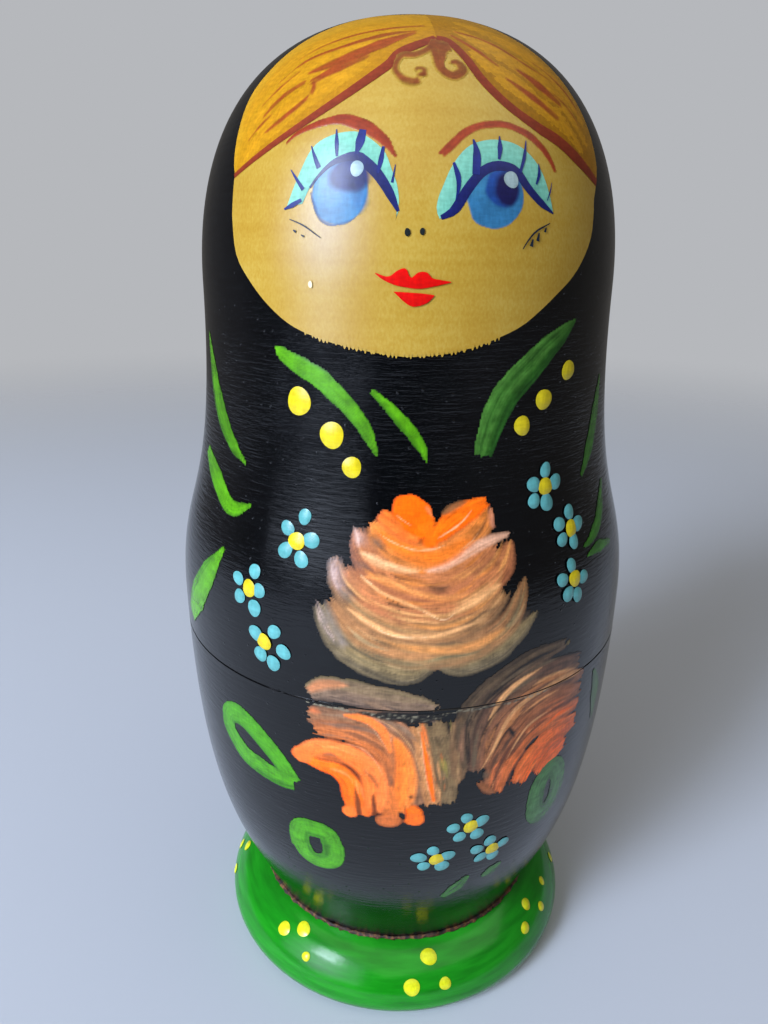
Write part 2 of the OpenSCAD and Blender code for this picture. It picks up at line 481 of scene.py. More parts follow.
chin = [
    (-47.5, 124.6), (-45, 120), (-40.2, 117.1), (-34.2, 114.3), (-27.3, 112), (-19.5, 110.6),
    (-13.5, 109.9), (-8, 109.4), (-0.3, 108.9), (4.5, 109), (11, 109.4), (17, 110.2), (22, 111.1),
    (27.5, 112.3), (32.5, 114), (37.5, 115.9), (42.5, 117.8), (47, 120.2), (50.5, 123), (52.5, 127),
]
hair_left = [
    (-48.6, 129.2), (-38.7, 131.6), (-28.1, 134.3), (-18.8, 136.9), (-12.2, 138.9), (-6, 140.9),
    (-2.6, 142.4), (8.6, 144.2),
]
hair_right = [
    (8.6, 144.2), (12.2, 143.9), (16.4, 141.9), (19.9, 139.3), (25.7, 136.7), (33.7, 134.5),
    (41.5, 132.9), (55, 129),
]
limewood = ["#d2ab55"]
fill(chin, hair_left + hair_right[1:], limewood, lift=0.02)
# Along the chin the bare wood runs down into the black in short points
for i in range(chin_marks):
    angle = first_mark + i + 0.6 * brush.random()
    edge_height = np.interp(angle, [a for a, z in chin], [z for a, z in chin])
    half = 0.2 + 0.25 * brush.random()
    tip_height = edge_height - mark_depth * brush.random()
    tip = [(angle - half, edge_height), (angle, tip_height), (angle + half, edge_height)]
    top = [(a, edge_height + mark_overlap) for a, z in tip]
    fill(tip, top, limewood, lift=0.02, cell=0.3)
face = gather("face", lacquered_limewood)
nest(face, "upper")

# The hair
# Two washes of ochre parted a little to one side, with strands and a lower edge drawn in red-brown with
# the tip of a brush, and two loose curls under the parting.
scarf_left = [
    (-48.6, 129.4), (-50.4, 131), (-53, 135), (-55, 139), (-53, 142), (-49, 145), (-42, 147),
    (-30, 148.2), (-10, 148.4), (8.6, 148.5),
]
scarf_right = [
    (8.6, 148.5), (28, 148.6), (40, 147.6), (47, 146), (53, 143.5), (57, 140), (58.5, 136),
    (57.5, 131.5), (55, 129),
]

# Sizes of the marks that bristles leave, and how thick the paint dries
path_step = 0.5
streak_length = 5
fine_length = 1.5
blot_width = 1.2
blot_height = 0.9
thin_coat = 0.02
thick_coat = 0.03
bare_cover = 0.02


def brushed_paint(name, roughness, shine, fibre):
    """Paint of the colour that the brush left, uneven over the fine fibres of the wood under it. They
    are drawn coarser than real ones, so that they show."""
    material, tree, shader = finish(name, {"Roughness": roughness, "Specular IOR Level": shine})
    paint = add(tree, "ShaderNodeAttribute", {}, attribute_name="paint").outputs["Color"]
    place = add(tree, "ShaderNodeTexCoord", {}).outputs["Object"]
    across = 1 / fibre
    along = 0.25 / fibre
    noises = []
    for scale in ((across, across, along), (along, along, across)):
        run = add(tree, "ShaderNodeMapping", {"Vector": place, "Scale": scale}).outputs[0]
        noise = add(tree, "ShaderNodeTexNoise", {"Vector": run, "Scale": 1, "Detail": 2})
        noises.append(noise.outputs["Fac"])
    grain = add(tree, "ShaderNodeMath", {0: noises[0], 1: noises[1]}, operation="ADD").outputs[0]
    value = add(tree, "ShaderNodeMapRange", {"Value": grain, 1: 0.7, 2: 1.3, 3: 0.84, 4: 1.16}).outputs[0]
    toned = add(tree, "ShaderNodeHueSaturation", {"Color": paint, "Value": value}).outputs[0]
    tree.links.new(toned, shader.inputs["Base Color"])
    rough = add(tree, "ShaderNodeBump", {"Height": grain, "Strength": 0.2, "Distance": 0.04 * mm})
    tree.links.new(rough.outputs[0], shader.inputs["Normal"])
    return material


def stroke(line, width, tints, lift=0.05, cell=0.7, on=doll_surface):
    """A crisp stroke along a line; width follows it, and tints run across it from right to left."""
    places = spread(line, on)
    rows = max(6, int(flow(places, 2)[1] / cell)) + 1
    centre = flow(places, rows)[0]
    r = np.interp(centre[:, 1], on["s"], on["r"])
    ahead = np.gradient(centre, axis=0) * np.stack([radians(1) * r, np.ones(rows)], -1)
    ahead /= np.hypot(ahead[:, 0], ahead[:, 1])[:, None]
    widths = np.interp(np.linspace(0, 1, rows), np.linspace(0, 1, len(width)), width)
    columns = max(2, min(12, int(max(width) / 0.4))) + 1
    sideways = widths[:, None] * np.linspace(-0.5, 0.5, columns)
    angles = centre[:, :1] - np.degrees(ahead[:, 1:] * sideways / r[:, None])
    lengths = centre[:, 1:] + ahead[:, :1] * sideways
    paint = np.tile(blend(tints, np.linspace(0, 1, columns)), (rows, 1, 1))
    patch(angles, lengths, lift, paint, on)


def between(low, high, share, start=0.0, end=1.0):
    """A line part of the way from one line to another, kept from start to end of its run."""
    count = 24
    low = flow(low, count)[0]
    high = flow(high, count)[0]
    line = low * (1 - share) + high * share
    return [tuple(p) for p in line[int(start * (count - 1)) : int(end * (count - 1)) + 1]]


def ground(places, spare, cell, tone, on=doll_surface):
    """A fine grid of bare places to blend paint on, round some places with millimetres to spare."""
    angles, lengths = spread(places, on).T
    aside = np.degrees(spare / np.interp(lengths, on["s"], on["r"])).max()
    widest = np.interp(lengths, on["s"], on["r"]).max()
    left = angles.min() - aside
    right = angles.max() + aside
    low = lengths.min() - spare
    high = min(lengths.max() + spare, on["s"][-1])
    rows = int(radians(right - left) * widest / cell)
    columns = int((high - low) / cell)
    across = np.linspace(left, right, rows)
    upward = np.linspace(low, high, columns)
    angles, lengths = np.meshgrid(across, upward, indexing="ij")
    places = lay(angles, lengths, 0, on) / mm
    paint = np.tile(colour(tone)[:3] + (0,), (rows, columns, 1))
    return {"angles": angles, "lengths": lengths, "places": places, "paint": paint, "on": on}


def uneven(rows, columns, u, v):
    """Smooth noise from 0 to 1, read off a small grid of random values at places from 0 to 1."""
    grid = brush.random((rows + 2, columns + 2))
    x = np.clip(u, 0, 1) * rows
    y = np.clip(v, 0, 1) * columns
    i = x.astype(int)
    j = y.astype(int)
    fx = (x - i) ** 2 * (3 - 2 * (x - i))
    fy = (y - j) ** 2 * (3 - 2 * (y - j))
    low = grid[i, j] * (1 - fx) + grid[i + 1, j] * fx
    high = grid[i, j + 1] * (1 - fx) + grid[i + 1, j + 1] * fx
    return low * (1 - fy) + high * fy


def soak(field, near, shade, cover):
    """Blends paint into what a field already holds."""
    share = cover[:, None]
    old = field["paint"][near]
    old[:, :3] = old[:, :3] * (1 - share) + shade * share
    old[:, 3] = np.maximum(old[:, 3], cover)
    field["paint"][near] = old


def drag(field, line, width, tints, load=(0.8,), dry=0.5, ragged=0.8, soft=0.5, bristle=0.25):
    """Drags a brush along a line: tints run across it from right to left and load along it, dry opens
    gaps between the bristles, ragged frays the edges, and soft is how far they melt into the rest."""
    on = field["on"]
    places = spread(line, on)
    count = max(12, int(flow(places, 2)[1] / path_step))
    centre = flow(places, count)[0]
    path = lay(centre[:, 0], centre[:, 1], 0, on) / mm
    outward = lay(centre[:, 0], centre[:, 1], 1, on) / mm - path
    ahead = np.gradient(path, axis=0)
    ahead /= np.linalg.norm(ahead, axis=1)[:, None]
    leftward = np.cross(outward, ahead)
    gone = np.concatenate(([0], np.cumsum(np.linalg.norm(np.diff(path, axis=0), axis=1))))
    length = gone[-1]
    reach = max(width) / 2 + 0.5
    inside = (field["places"] > path.min(0) - reach) & (field["places"] < path.max(0) + reach)
    near = inside.all(-1)
    spots = field["places"][near]
    closest = np.argmin((path**2).sum(1) - 2 * spots @ path.T, 1)
    off = spots - path[closest]
    along = gone[closest] + (off * ahead[closest]).sum(-1)
    widths = np.interp(gone, np.linspace(0, length, len(width)), width)[closest]
    u = along / length
    v = (off * leftward[closest]).sum(-1) / widths + 0.5
    hairs = max(3, int(max(width) / bristle))
    streaks = uneven(max(2, int(length / streak_length)), hairs, u, v)
    low = spots.min(0)
    span = spots.max(0) - low + 0.01
    spot_share = (spots - low) / span
    blots_across = int(span[0] / blot_width) + 1
    blots_up = int(span[2] / blot_height) + 1
    blots = uneven(blots_across, blots_up, spot_share[:, 0], spot_share[:, 2])
    fine = uneven(max(2, int(length / fine_length)), hairs * 2, u, v)
    starts = uneven(1, hairs, 0 * v, v) * ragged
    ends = uneven(1, hairs, 0 * v, v) * ragged
    from_end = np.minimum(along - starts, length - ends - along)
    at_ends = np.clip(from_end / max(0.3, soft), 0, 1)
    from_side = (0.5 - np.abs(v - 0.5)) * widths
    fray = (0.2 * fine + 0.35 * blots) * min(1, ragged)
    at_sides = np.clip((from_side - fray) / soft, 0, 1)
    full = np.interp(u, np.linspace(0, 1, len(load)), load)
    held = 0.45 * streaks + 0.3 * fine + 0.5 * blots - 0.6
    amount = np.clip(full + dry * held, 0, 1)
    tint = blend(tints, np.clip(v + 0.3 * (streaks - 0.5), 0, 1))[:, :3]
    thickness = 0.7 + 0.35 * fine + 0.3 * blots
    soak(field, near, tint * thickness[:, None], amount * at_ends * at_sides)


def dab(field, place, across, tall, tint, load=1.0, soft=0.3, slant=0):
    """Presses the brush down once: a soft oval, slanted by some degrees."""
    on = field["on"]
    angle, length = spread([place], on)[0]
    right = np.radians(field["angles"] - angle) * np.interp(length, on["s"], on["r"])
    up = field["lengths"] - length
    lean = radians(slant)
    x = (right * cos(lean) + up * sin(lean)) / across
    y = (up * cos(lean) - right * sin(lean)) / tall
    near = np.hypot(x, y) < 1.1
    x = x[near]
    y = y[near]
    blot = uneven(5, 5, x / 2.4 + 0.5, y / 2.4 + 0.5)
    from_edge = (1.05 - np.hypot(x, y) - 0.15 * blot) * min(across, tall)
    cover = load * np.clip(from_edge / soft, 0, 1)
    shade = np.array(colour(tint)[:3]) * (0.85 + 0.3 * blot)[:, None]
    soak(field, near, shade, cover)


def dried(field):
    """Makes a mesh of the painted part of a field."""
    lift = thin_coat + thick_coat * field["paint"][..., 3]
    patch(field["angles"], field["lengths"], lift, field["paint"], field["on"])
    mesh = bpy.context.object.data
    paint = np.empty(len(mesh.vertices) * 4)
    mesh.color_attributes["paint"].data.foreach_get("color", paint)
    bare = paint[3::4] < bare_cover
    bpy.ops.object.mode_set(mode="EDIT")
    bpy.ops.mesh.select_mode(type="VERT")
    bpy.ops.mesh.select_all(action="DESELECT")
    bpy.ops.object.mode_set(mode="OBJECT")
    mesh.vertices.foreach_set("select", bare)
    bpy.ops.object.mode_set(mode="EDIT")
    bpy.ops.mesh.delete(type="VERT")
    bpy.ops.object.mode_set(mode="OBJECT")


# Thin paint that has soaked into the wood: duller than the face beside it
wash = brushed_paint("ochre_and_sienna_wash", roughness=0.34, shine=0.2, fibre=0.35 * mm)
fill(hair_left, scarf_left, ["#a06c0c", "#aa780e", "#b48418"], lift=0.03)
fill(hair_right, scarf_right, ["#8e5e08", "#98680a", "#a47616"], lift=0.03)
strands = ground([(-50, 130), (57, 146.8)], spare=0.6, cell=0.18, tone="#b07c10")
ochre = ["#8a5606", "#b47e12", "#96600a"]
for share, side, other, start, end in [
    (0.2, hair_left, scarf_left, 0.05, 0.7), (0.45, hair_left, scarf_left, 0.1, 0.9),
    (0.7, hair_left, scarf_left, 0.15, 0.9), (0.25, hair_right, scarf_right, 0.2, 0.9),
    (0.5, hair_right, scarf_right, 0.1, 0.9), (0.75, hair_right, scarf_right, 0.15, 0.85),
]:
    run = between(side, other, share, start, end)
    drag(strands, run, (2, 4, 4, 2), ochre, (0.45,), dry=1.0, soft=1.2, bristle=0.4)
sienna = ["#7c3412", "#8a3c14"]
for line, width in [
    ([(-42.7, 135.4), (-37.2, 137.8), (-29.8, 139.5)], (0.3, 0.6, 0.5)),
    ([(-40, 133.6), (-32.4, 135.9), (-27.1, 137.7)], (0.3, 0.6, 0.5)),
    ([(-28.3, 139.5), (-27, 138.6), (-27.2, 137.5)], (0.4, 0.5, 0.4)),
    ([(-31.5, 140.2), (-20.2, 141.7), (-10.1, 143.3), (2.5, 145)], (0.4, 1.2, 1.4, 0.4)),
    ([(-29.5, 139), (-21.5, 140.6), (-12, 142.1)], (0.6, 1.1, 0.5)),
    ([(-42.4, 139.4), (-34.3, 142), (-22.4, 143.4), (-9.4, 144.6), (3.2, 145.2)],
     (0.2, 0.4, 0.5, 0.7, 0.3)),
    ([(-39.3, 142.2), (-29.6, 144), (-13.9, 145.3), (6.6, 146)], (0.2, 0.4, 0.5, 0.3)),
    ([(-45.6, 136.7), (-39.3, 139.2), (-34.2, 140.9)], (0.2, 0.4, 0.2)),
    ([(-46, 133), (-41.5, 135), (-38, 136.2)], (0.2, 0.35, 0.2)),
    ([(13.3, 144.9), (20.8, 143), (27.4, 140.9)], (0.4, 0.6, 0.3)),
    ([(14.8, 145.4), (27.8, 144.2), (38.4, 141.9), (48.7, 140.1)], (0.3, 0.45, 0.4, 0.2)),
    ([(26.6, 140), (34.9, 137.9), (43.1, 135.6)], (0.3, 0.9, 0.5)),
    ([(32, 141.3), (39.1, 139.5), (46.7, 137.3)], (0.3, 1.2, 0.5)),
    ([(47, 141.6), (52.8, 139.2), (55.7, 136.4)], (0.2, 0.35, 0.2)),
    ([(42, 142.6), (49, 140.9), (54, 138.5)], (0.2, 0.3, 0.2)),
    ([(44, 139), (49.5, 137.2), (53.5, 134.6)], (0.2, 0.35, 0.2)),
]:
    widths = [0.35 + 1.5 * w for w in width]
    drag(strands, line, widths, sienna, (0.9, 1, 0.8), dry=0.5, ragged=0.5, soft=0.25)
dried(strands)
locks = ["#6e2814", "#7c2f18"]
stroke(hair_left, (0.6, 0.8, 0.9, 1.1, 1.3, 1.4, 1.2), locks)
stroke(hair_right, (1.0, 1.1, 1.2, 1.2, 1.5, 1.7, 1.1), locks)
curls = ground([(-6, 138.2), (17, 144)], spare=0.6, cell=0.14, tone="#ac8b30")
for line, width in [
    ([(8.6, 144.2), (5.5, 142.8), (1.2, 142), (-2.8, 141.9), (-4.4, 140.4), (-2.2, 139.2), (0.8, 138.8),
      (3.2, 139.2)], (1.8, 1.3, 1.3, 1.5, 1.1, 1.1, 1.4, 1.3)),
    ([(3.4, 139.3), (3.6, 140.2), (1.8, 140.3), (1.2, 139.7)], (1.2, 1, 0.9, 0.8)),
    ([(9, 143.8), (8.4, 142), (8.6, 140.4), (11.6, 139.6), (14.6, 140.3), (13.2, 141.2), (11, 140.8)],
     (2.8, 2.3, 1.8, 1.5, 1.6, 1.4, 1.0)),
    ([(7.2, 143.9), (9.4, 143.4), (12.4, 142.3)], (1.8, 2.4, 1.0)),
]:
    widths = [1.15 * w for w in width]
    drag(curls, line, widths, ["#6a3214", "#7a401c"], (0.95,), dry=0.6, ragged=0.3, soft=0.4)
dab(curls, (3, 139.6), 0.8, 0.5, "#64280f", 0.9, 0.3)
dried(curls)
hair = gather("hair", wash)
nest(hair, "upper")

# The brows, eyes, nose and lips
# Drawn on the bare wood with a fine brush: turquoise lids, blue irises with a navy pupil and a pale
# glint, navy lashes, red-brown brows, two dots for the nose and red lips.
brow_left = [
    (-31.7, 132.2), (-28.2, 133.5), (-22.4, 134.4), (-17.2, 134.8), (-11.9, 134.2), (-7.8, 133.2),
    (-4.9, 132), (-2.6, 130.5),
]
brow_right = [
    (6.8, 130.8), (9.4, 131.9), (13.4, 133.5), (17.1, 134.2), (21.4, 134.5), (25.7, 134.3),
    (30.1, 133.6), (33.3, 132.5), (35.9, 131), (37.4, 129.5),
]
lid_left = [
    (-28.6, 125.4), (-27.2, 127.4), (-25.4, 129.7), (-23.8, 131.4), (-21.8, 132.4), (-18.6, 133.1),
    (-15.2, 133.4), (-12.3, 133.4), (-10, 132.9), (-7.2, 132), (-5.2, 131), (-3.8, 129.4),
    (-2.5, 127.8), (-2, 125.9), (-2.7, 124),
]
eye_left = [
    (-24.4, 125.8), (-22.8, 127.5), (-20.5, 128.9), (-17.3, 130.2), (-12.6, 130.8), (-9.7, 130.1),
    (-7.3, 129.1), (-5.2, 127.8), (-3.5, 126.4), (-2.1, 125),
]
lid_right = [
    (7, 124.2), (6.2, 125.2), (6.6, 126.5), (7.7, 127.8), (9.3, 129.5), (11.9, 131.2), (14.7, 132.2),
    (18.3, 132.7), (21.3, 132.8), (24.8, 132.6), (28, 132), (30.8, 130.9), (32.8, 129.5), (34, 128),
    (34.9, 126.4), (35.3, 125.3),
]
eye_right = [
    (7.2, 124.4), (10.1, 125.2), (13, 127.3), (16.2, 129.1), (19.2, 129.9), (22.3, 130),
    (25.4, 129.5), (28.3, 127.8), (31.6, 126.3), (35.4, 125.1),
]
under_left = [(-22.6, 127.3), (-21.7, 126), (-19.8, 124.2), (-17, 123.5), (-13.6, 123.8), (-10.8, 124.4)]
# Tempera under the lacquer of the face: satin, with the fibres of the wood showing through
tempera = brushed_paint("tempera_on_limewood", roughness=0.25, shine=0.45, fibre=0.35 * mm)
eyes = ground([(-33, 121.5), (39, 135.4)], spare=0.4, cell=0.14, tone="#ac8b30")
drag(eyes, brow_left, (0.7, 1.0, 1.3, 1.5, 1.9, 1.9, 1.5, 0.6), ["#8c3214", "#78260f"],
     (0.9, 1.1, 1.2, 1.2), dry=0.3, ragged=0.3, soft=0.2)
drag(eyes, brow_right, (1.3, 1.4, 1.3, 1.3, 1.3, 1.4, 1.3, 0.9), ["#8e3418", "#842c12"],
     (1.2,), dry=0.3, ragged=0.3, soft=0.25)
dab(eyes, (-15.4, 127.2), 3.75, 3.85, "#2f6f96", 1, 0.25)
dab(eyes, (-10.6, 126.4), 1.3, 2.0, "#205a8c", 0.7, 0.8)
dab(eyes, (-13.4, 128.8), 2.9, 2.3, "#16225c", 1, 0.7)
dab(eyes, (-11.6, 128.2), 1.6, 1.5, "#121a4c", 0.9, 0.6)
drag(eyes, under_left, (0.6, 0.7, 0.7, 0.6, 0.4), ["#1f4672"], (0.9,), dry=0.4, ragged=0.3, soft=0.2)
dab(eyes, (19.9, 126.8), 3.85, 3.9, "#2b6488", 1, 0.25)
dab(eyes, (15.4, 127.6), 1.4, 1.6, "#3a7c9c", 0.6, 0.8)
dab(eyes, (21.6, 127.7), 2.35, 2.35, "#173a78", 0.95, 0.35)
dab(eyes, (22.7, 127.5), 1.9, 2.15, "#12123e", 1, 0.6)
dried(eyes)
lid = ["#5a9c86", "#6cac94", "#74b298"]
fill(eye_left, lid_left, lid, lift=0.05, cell=0.7)
fill(eye_right, lid_right, lid, lift=0.05, cell=0.7)
navy = ["#12184a", "#161d56"]
stroke(eye_left[1:], (0.25, 0.4, 0.6, 0.9, 1.3, 1.25, 1.15, 1.0, 0.35), navy)
stroke(eye_right, (0.5, 1.1, 1.15, 1.1, 1.1, 1.1, 1.1, 1.0, 0.9, 0.2), navy)


def dot(place, across, tall, tint, slant=0, lift=0.05, proud=0.15, on=doll_surface):
    """A touch of paint from the brush's end: a low uneven dome on an oval, slanted by some degrees."""
    bpy.ops.object.select_all(action="DESELECT")
    bpy.ops.mesh.primitive_circle_add(vertices=24, radius=1, fill_type="NGON")
    bpy.ops.object.mode_set(mode="EDIT")
    for inset in (0.22, 0.3, 0.28):
        bpy.ops.mesh.inset(thickness=inset)
    bpy.ops.object.mode_set(mode="OBJECT")
    mesh = bpy.context.object.data
    flat = np.empty(len(mesh.vertices) * 3)
    mesh.vertices.foreach_get("co", flat)
    x = flat[0::3]
    y = flat[1::3]
    around = np.arctan2(y, x)
    wobble = 1 + 0.04 * np.sin(2 * around + 6 * brush.random())
    wobble += 0.03 * np.sin(3 * around + 6 * brush.random())
    lean = radians(slant)
    right = (x * across * cos(lean) - y * tall * sin(lean)) * wobble
    up = (x * across * sin(lean) + y * tall * cos(lean)) * wobble
    angle, length = spread([place], on)[0]
    r = np.interp(length, on["s"], on["r"])
    crown = np.clip(1 - np.hypot(x, y) ** 2, 0, 1)
    thick = lift + paint_step * len(laid) + proud * crown
    tone = 0.82 + 0.22 * crown + 0.1 * brush.random()
    paint = np.concatenate([np.array(colour(tint)[:3]) * tone[:, None], np.ones((len(x), 1))], -1)
    wet(mesh, lay(angle + np.degrees(right / r), length + up, thick, on), paint)
    laid.append(bpy.context.object)


dot((-11.7, 129.5), 0.8, 0.85, "#8fa6a8", proud=0.02)
dot((23.9, 128.6), 0.95, 0.92, "#90a29e", proud=0.02)
lash = ["#101c5c", "#142468"]
for line, width in [
    ([(-23.6, 132), (-22.3, 130.8), (-20.9, 129.6)], (0.1, 0.45, 0.6)),
    ([(-17.6, 133.7), (-17.1, 132.2), (-16.7, 130.8)], (0.1, 0.55, 0.3)),
    ([(-11, 133.6), (-11.4, 132.4), (-12.1, 131)], (0.8, 1.1, 0.3)),
    ([(-5.9, 131.8), (-6.3, 130.4), (-6.9, 129)], (0.3, 0.6, 0.3)),
    ([(-3, 129.9), (-3.6, 128)], (0.06, 0.3)),
    ([(-28.4, 129.5), (-26.4, 128.4), (-24.4, 127.3)], (0.1, 0.35, 0.5)),
    ([(-29.2, 125.2), (-27.2, 125.6), (-24.7, 126.2)], (0.2, 0.6, 0.4)),
    ([(10.1, 130.2), (11.1, 128.6), (11, 127.3), (10.4, 126.2)], (0.3, 0.65, 0.45, 0.1)),
    ([(15, 132.7), (15.6, 131.2), (15.2, 129)], (0.2, 1.0, 0.9)),
    ([(21.7, 133.2), (21.5, 131.8), (21, 130.7)], (0.1, 0.65, 0.3)),
    ([(29, 132.9), (27.8, 131), (26.3, 129.4)], (0.1, 0.45, 0.35)),
    ([(31.9, 130.5), (31.7, 129.3), (30.6, 128.2)], (0.1, 0.45, 0.25)),
    ([(35.4, 128.5), (34.7, 127.5), (33.6, 126.5)], (0.06, 0.2, 0.1)),
]:
    stroke(line, width, lash, cell=0.4)
ink = ["#1a222c"]
for line, width in [
    ([(-27.5, 124.1), (-23.7, 123.4), (-19.4, 122.1)], (0.1, 0.18, 0.1)),
    ([(-26.4, 122.9), (-25.6, 122.7)], (0.15, 0.3)),
    ([(-24.3, 122.4), (-23.5, 122.2)], (0.12, 0.25)),
    ([(34.2, 124), (30.2, 123.1), (28, 122.1), (26.5, 121.1)], (0.1, 0.22, 0.22, 0.12)),
    ([(33, 123.5), (32.6, 123)], (0.2, 0.35)),
    ([(30.9, 122.9), (30.5, 122)], (0.2, 0.5)),
    ([(29.2, 122.2), (28.7, 121.4)], (0.2, 0.55)),
]:
    stroke(line, width, ink, cell=0.4)
dot((0, 122.8), 0.31, 0.46, "#161c1c", proud=0.01)
dot((3.2, 122.9), 0.28, 0.4, "#161c1c", proud=0.01)
red = ["#be0503", "#d00a05"]
upper_lip = (
    [(-6.8, 118.3), (-5.3, 117.7), (-2.7, 117.1), (0.4, 116.8), (3, 116.7), (6.4, 117), (9.7, 117.4)],
    [(-6.8, 118.4), (-4, 118), (-1.9, 118.7), (-0.2, 118.9), (0.9, 117.9), (2.5, 118.5), (4.4, 118.5),
     (5.5, 117.9), (7.3, 117.7), (9.7, 117.5)],
)
lower_lip = (
    [(-2.7, 116.3), (-0.4, 115.2), (1.3, 114.7), (3.1, 114.8), (4.8, 115.2), (6.1, 115.9)],
    [(-2.7, 116.35), (-0.4, 116.3), (1.3, 116.25), (3.1, 116.2), (4.8, 116.1), (6.1, 116)],
)
for low_edge, high_edge in (upper_lip, lower_lip):
    fill(low_edge, high_edge, red, lift=0.05, cell=0.35)
dot((-21.8, 116.9), 0.28, 0.4, "#dcc896", proud=0)
features = gather("features", tempera)
nest(features, "upper")

# The leaves
# Single strokes of green, each pressed wide in the middle and lifted to a point, bright where the paint
# is thick and dark where the black shows through it.
night = "#070809"
leaf = ["#38720e", "#529410", "#447f0c"]
# Painted shade: the two lists below are mixed darker for the leaves on the right-hand side, and the first
# of them runs out to a painted lighter edge on the left side of its leaf.
shaded_leaf = ["#1e4a16", "#285818", "#4c8030"]
shaded_far_leaf = ["#28600f", "#3a7c1a", "#2c6614"]
# Thin green over black: glossy and uneven, because the black shows where the brush ran dry
leaf_green = brushed_paint("leaf_green_on_black", roughness=0.24, shine=0.35, fibre=0.4 * mm)
for line, width, tints, load in [
    ([(-32.5, 109.2), (-27.1, 107.7), (-23, 106.7), (-19.2, 105.6), (-15.6, 104.1), (-12, 102.2),
      (-9.2, 100.4), (-7.2, 98.5), (-5.7, 96.5)],
     (1.2, 2, 2.3, 2.4, 2.3, 2.1, 1.9, 1.6, 0.6), leaf, (1, 0.95, 0.85, 0.7)),
    ([(-8.2, 105), (-5.2, 103.8), (-1.9, 102.1), (1.2, 100.2), (3.1, 98.9), (4.7, 97.4), (5.5, 95.6)],
     (0.8, 1.2, 1.6, 1.7, 1.6, 1.3, 0.5), leaf, (0.9, 0.9, 0.8)),
    ([(18.4, 96.2), (19.2, 98.1), (20.5, 100.1), (22.2, 102.2), (24.3, 104.1), (27.6, 105.9),
      (31.4, 107.5), (35.5, 109.3), (40.3, 110.9), (46.3, 113)],
     (2.2, 2.8, 3.2, 3.4, 3.4, 3.3, 3.1, 2.6, 1.9, 0.5), shaded_leaf, (0.75, 0.8, 0.85, 0.9)),
    ([(-65, 110), (-63, 107), (-60.5, 104), (-58, 101.5), (-54, 98.5), (-48, 95.5), (-40.5, 93)],
     (0.6, 1.9, 2.7, 2.9, 2.5, 1.9, 0.6), leaf, (0.65,)),
    ([(-64, 93), (-58, 91), (-52, 89), (-47, 87.2), (-43, 86.9), (-37, 88.3)],
     (1.6, 2.5, 2.8, 2.5, 1.9, 0.6), leaf, (0.7, 0.85, 0.8)),
    ([(-44.5, 81.6), (-50, 77), (-56, 72), (-63, 66.5)], (0.8, 3.4, 4.2, 2.6), leaf, (0.9,)),
    ([(63, 105), (59, 99), (55, 95), (49, 91)], (0.8, 2.4, 2.4, 0.6), shaded_far_leaf, (0.8,)),
    ([(63, 90), (57, 85), (51, 82.8), (46, 82)], (0.8, 2.2, 2, 0.6), shaded_far_leaf, (0.8,)),
    ([(47, 80.6), (54, 81), (62, 80.4)], (0.6, 2, 0.8), shaded_far_leaf, (0.85,)),
]:
    blade = ground(line, spare=2.4, cell=0.2, tone=night)
    drag(blade, line, [1.35 * w for w in width], tints, load, dry=0.6, ragged=0.6, soft=0.3)
    drag(blade, line, [0.6 * w for w in width], [tints[-1]], (0.5,), dry=1.2, soft=0.6)
    dried(blade)
leaves = gather("leaves", leaf_green)
nest(leaves, "upper")

# The small blue flowers and yellow berries
# Five touches of pale blue round a touch of yellow, and single berries beside the leaves, put on with
# the end of the brush so that each stands a little proud.
berry = "#c8b41a"
petal = "#569a98"
flower_r = 34
# Thick tempera: the glossiest paint, in drops that each catch the light
thick_tempera = brushed_paint("thick_tempera_dots", roughness=0.18, shine=0.5, fibre=0.5 * mm)


def flower(centre, petals):
    """A flower from its middle and its petals' places; each petal points away from the middle."""
    for angle, height in petals:
        right = radians(angle - centre[0]) * flower_r
        up = height - centre[1]
        slant = np.degrees(np.arctan2(-right, up))
        size = 0.92 + 0.2 * brush.random()
        dot((angle, height), size, 1.12 * size, petal, slant)
    dot(centre, 1.2, 1.2, "#c9b41a", lift=0.08)


for place, r in [
    ((-25.2, 102.8), 1.75), ((-16.6, 99), 1.65), ((-11.6, 95.2), 1.3), ((43.6, 106.3), 1.3),
    ((35.2, 103), 1.35), ((28.8, 100), 1.25),
]:
    dot(place, r, r, berry)
for centre, petals in [
    ((-23.6, 85.1), [(-22.2, 88.3), (-26.3, 86.5), (-20.1, 85.5), (-26.2, 83.7), (-22, 82.9)]),
    ((-34.8, 77.4), [(-33.7, 79.9), (-38.5, 78.2), (-32, 77.5), (-37.6, 75.8), (-33, 74.9)]),
    ((-30.2, 70.5), [(-27.5, 72.4), (-32.5, 71.3), (-25.2, 69.8), (-31.3, 68.4), (-27.9, 67.6)]),
    ((35.5, 91.7), [(35.8, 93.8), (32, 92.2), (38.8, 92), (31.8, 90.1), (35.6, 89.6)]),
    ((42.9, 85.3), [(42.9, 87.5), (39, 86.3), (45.6, 85.6), (39.4, 84.2), (43.2, 83.5)]),
    ((42, 78.6), [(41.3, 80.5), (38, 79), (45.2, 78.3), (39.6, 76.8), (42.7, 76.2)]),
]:
    flower(centre, petals)
upper_flowers = gather("upper_flowers", thick_tempera)
nest(upper_flowers, "upper")
for centre, petals in [
    ((18.3, 41.8), [(17, 43.6), (21, 42.4), (13.9, 42), (15.7, 40), (20.2, 39.9)]),
    ((10.5, 35.8), [(9.4, 37.7), (5.9, 36.4), (7.3, 34.4), (12, 34.1), (13.2, 36.3)]),
    ((25.6, 35.5), [(24.4, 37.5), (21, 36.3), (22.6, 34.2), (26.2, 33.8), (28.6, 36)]),
]:
    flower(centre, petals)
lower_flowers = gather("lower_flowers", thick_tempera)
nest(lower_flowers, "lower")

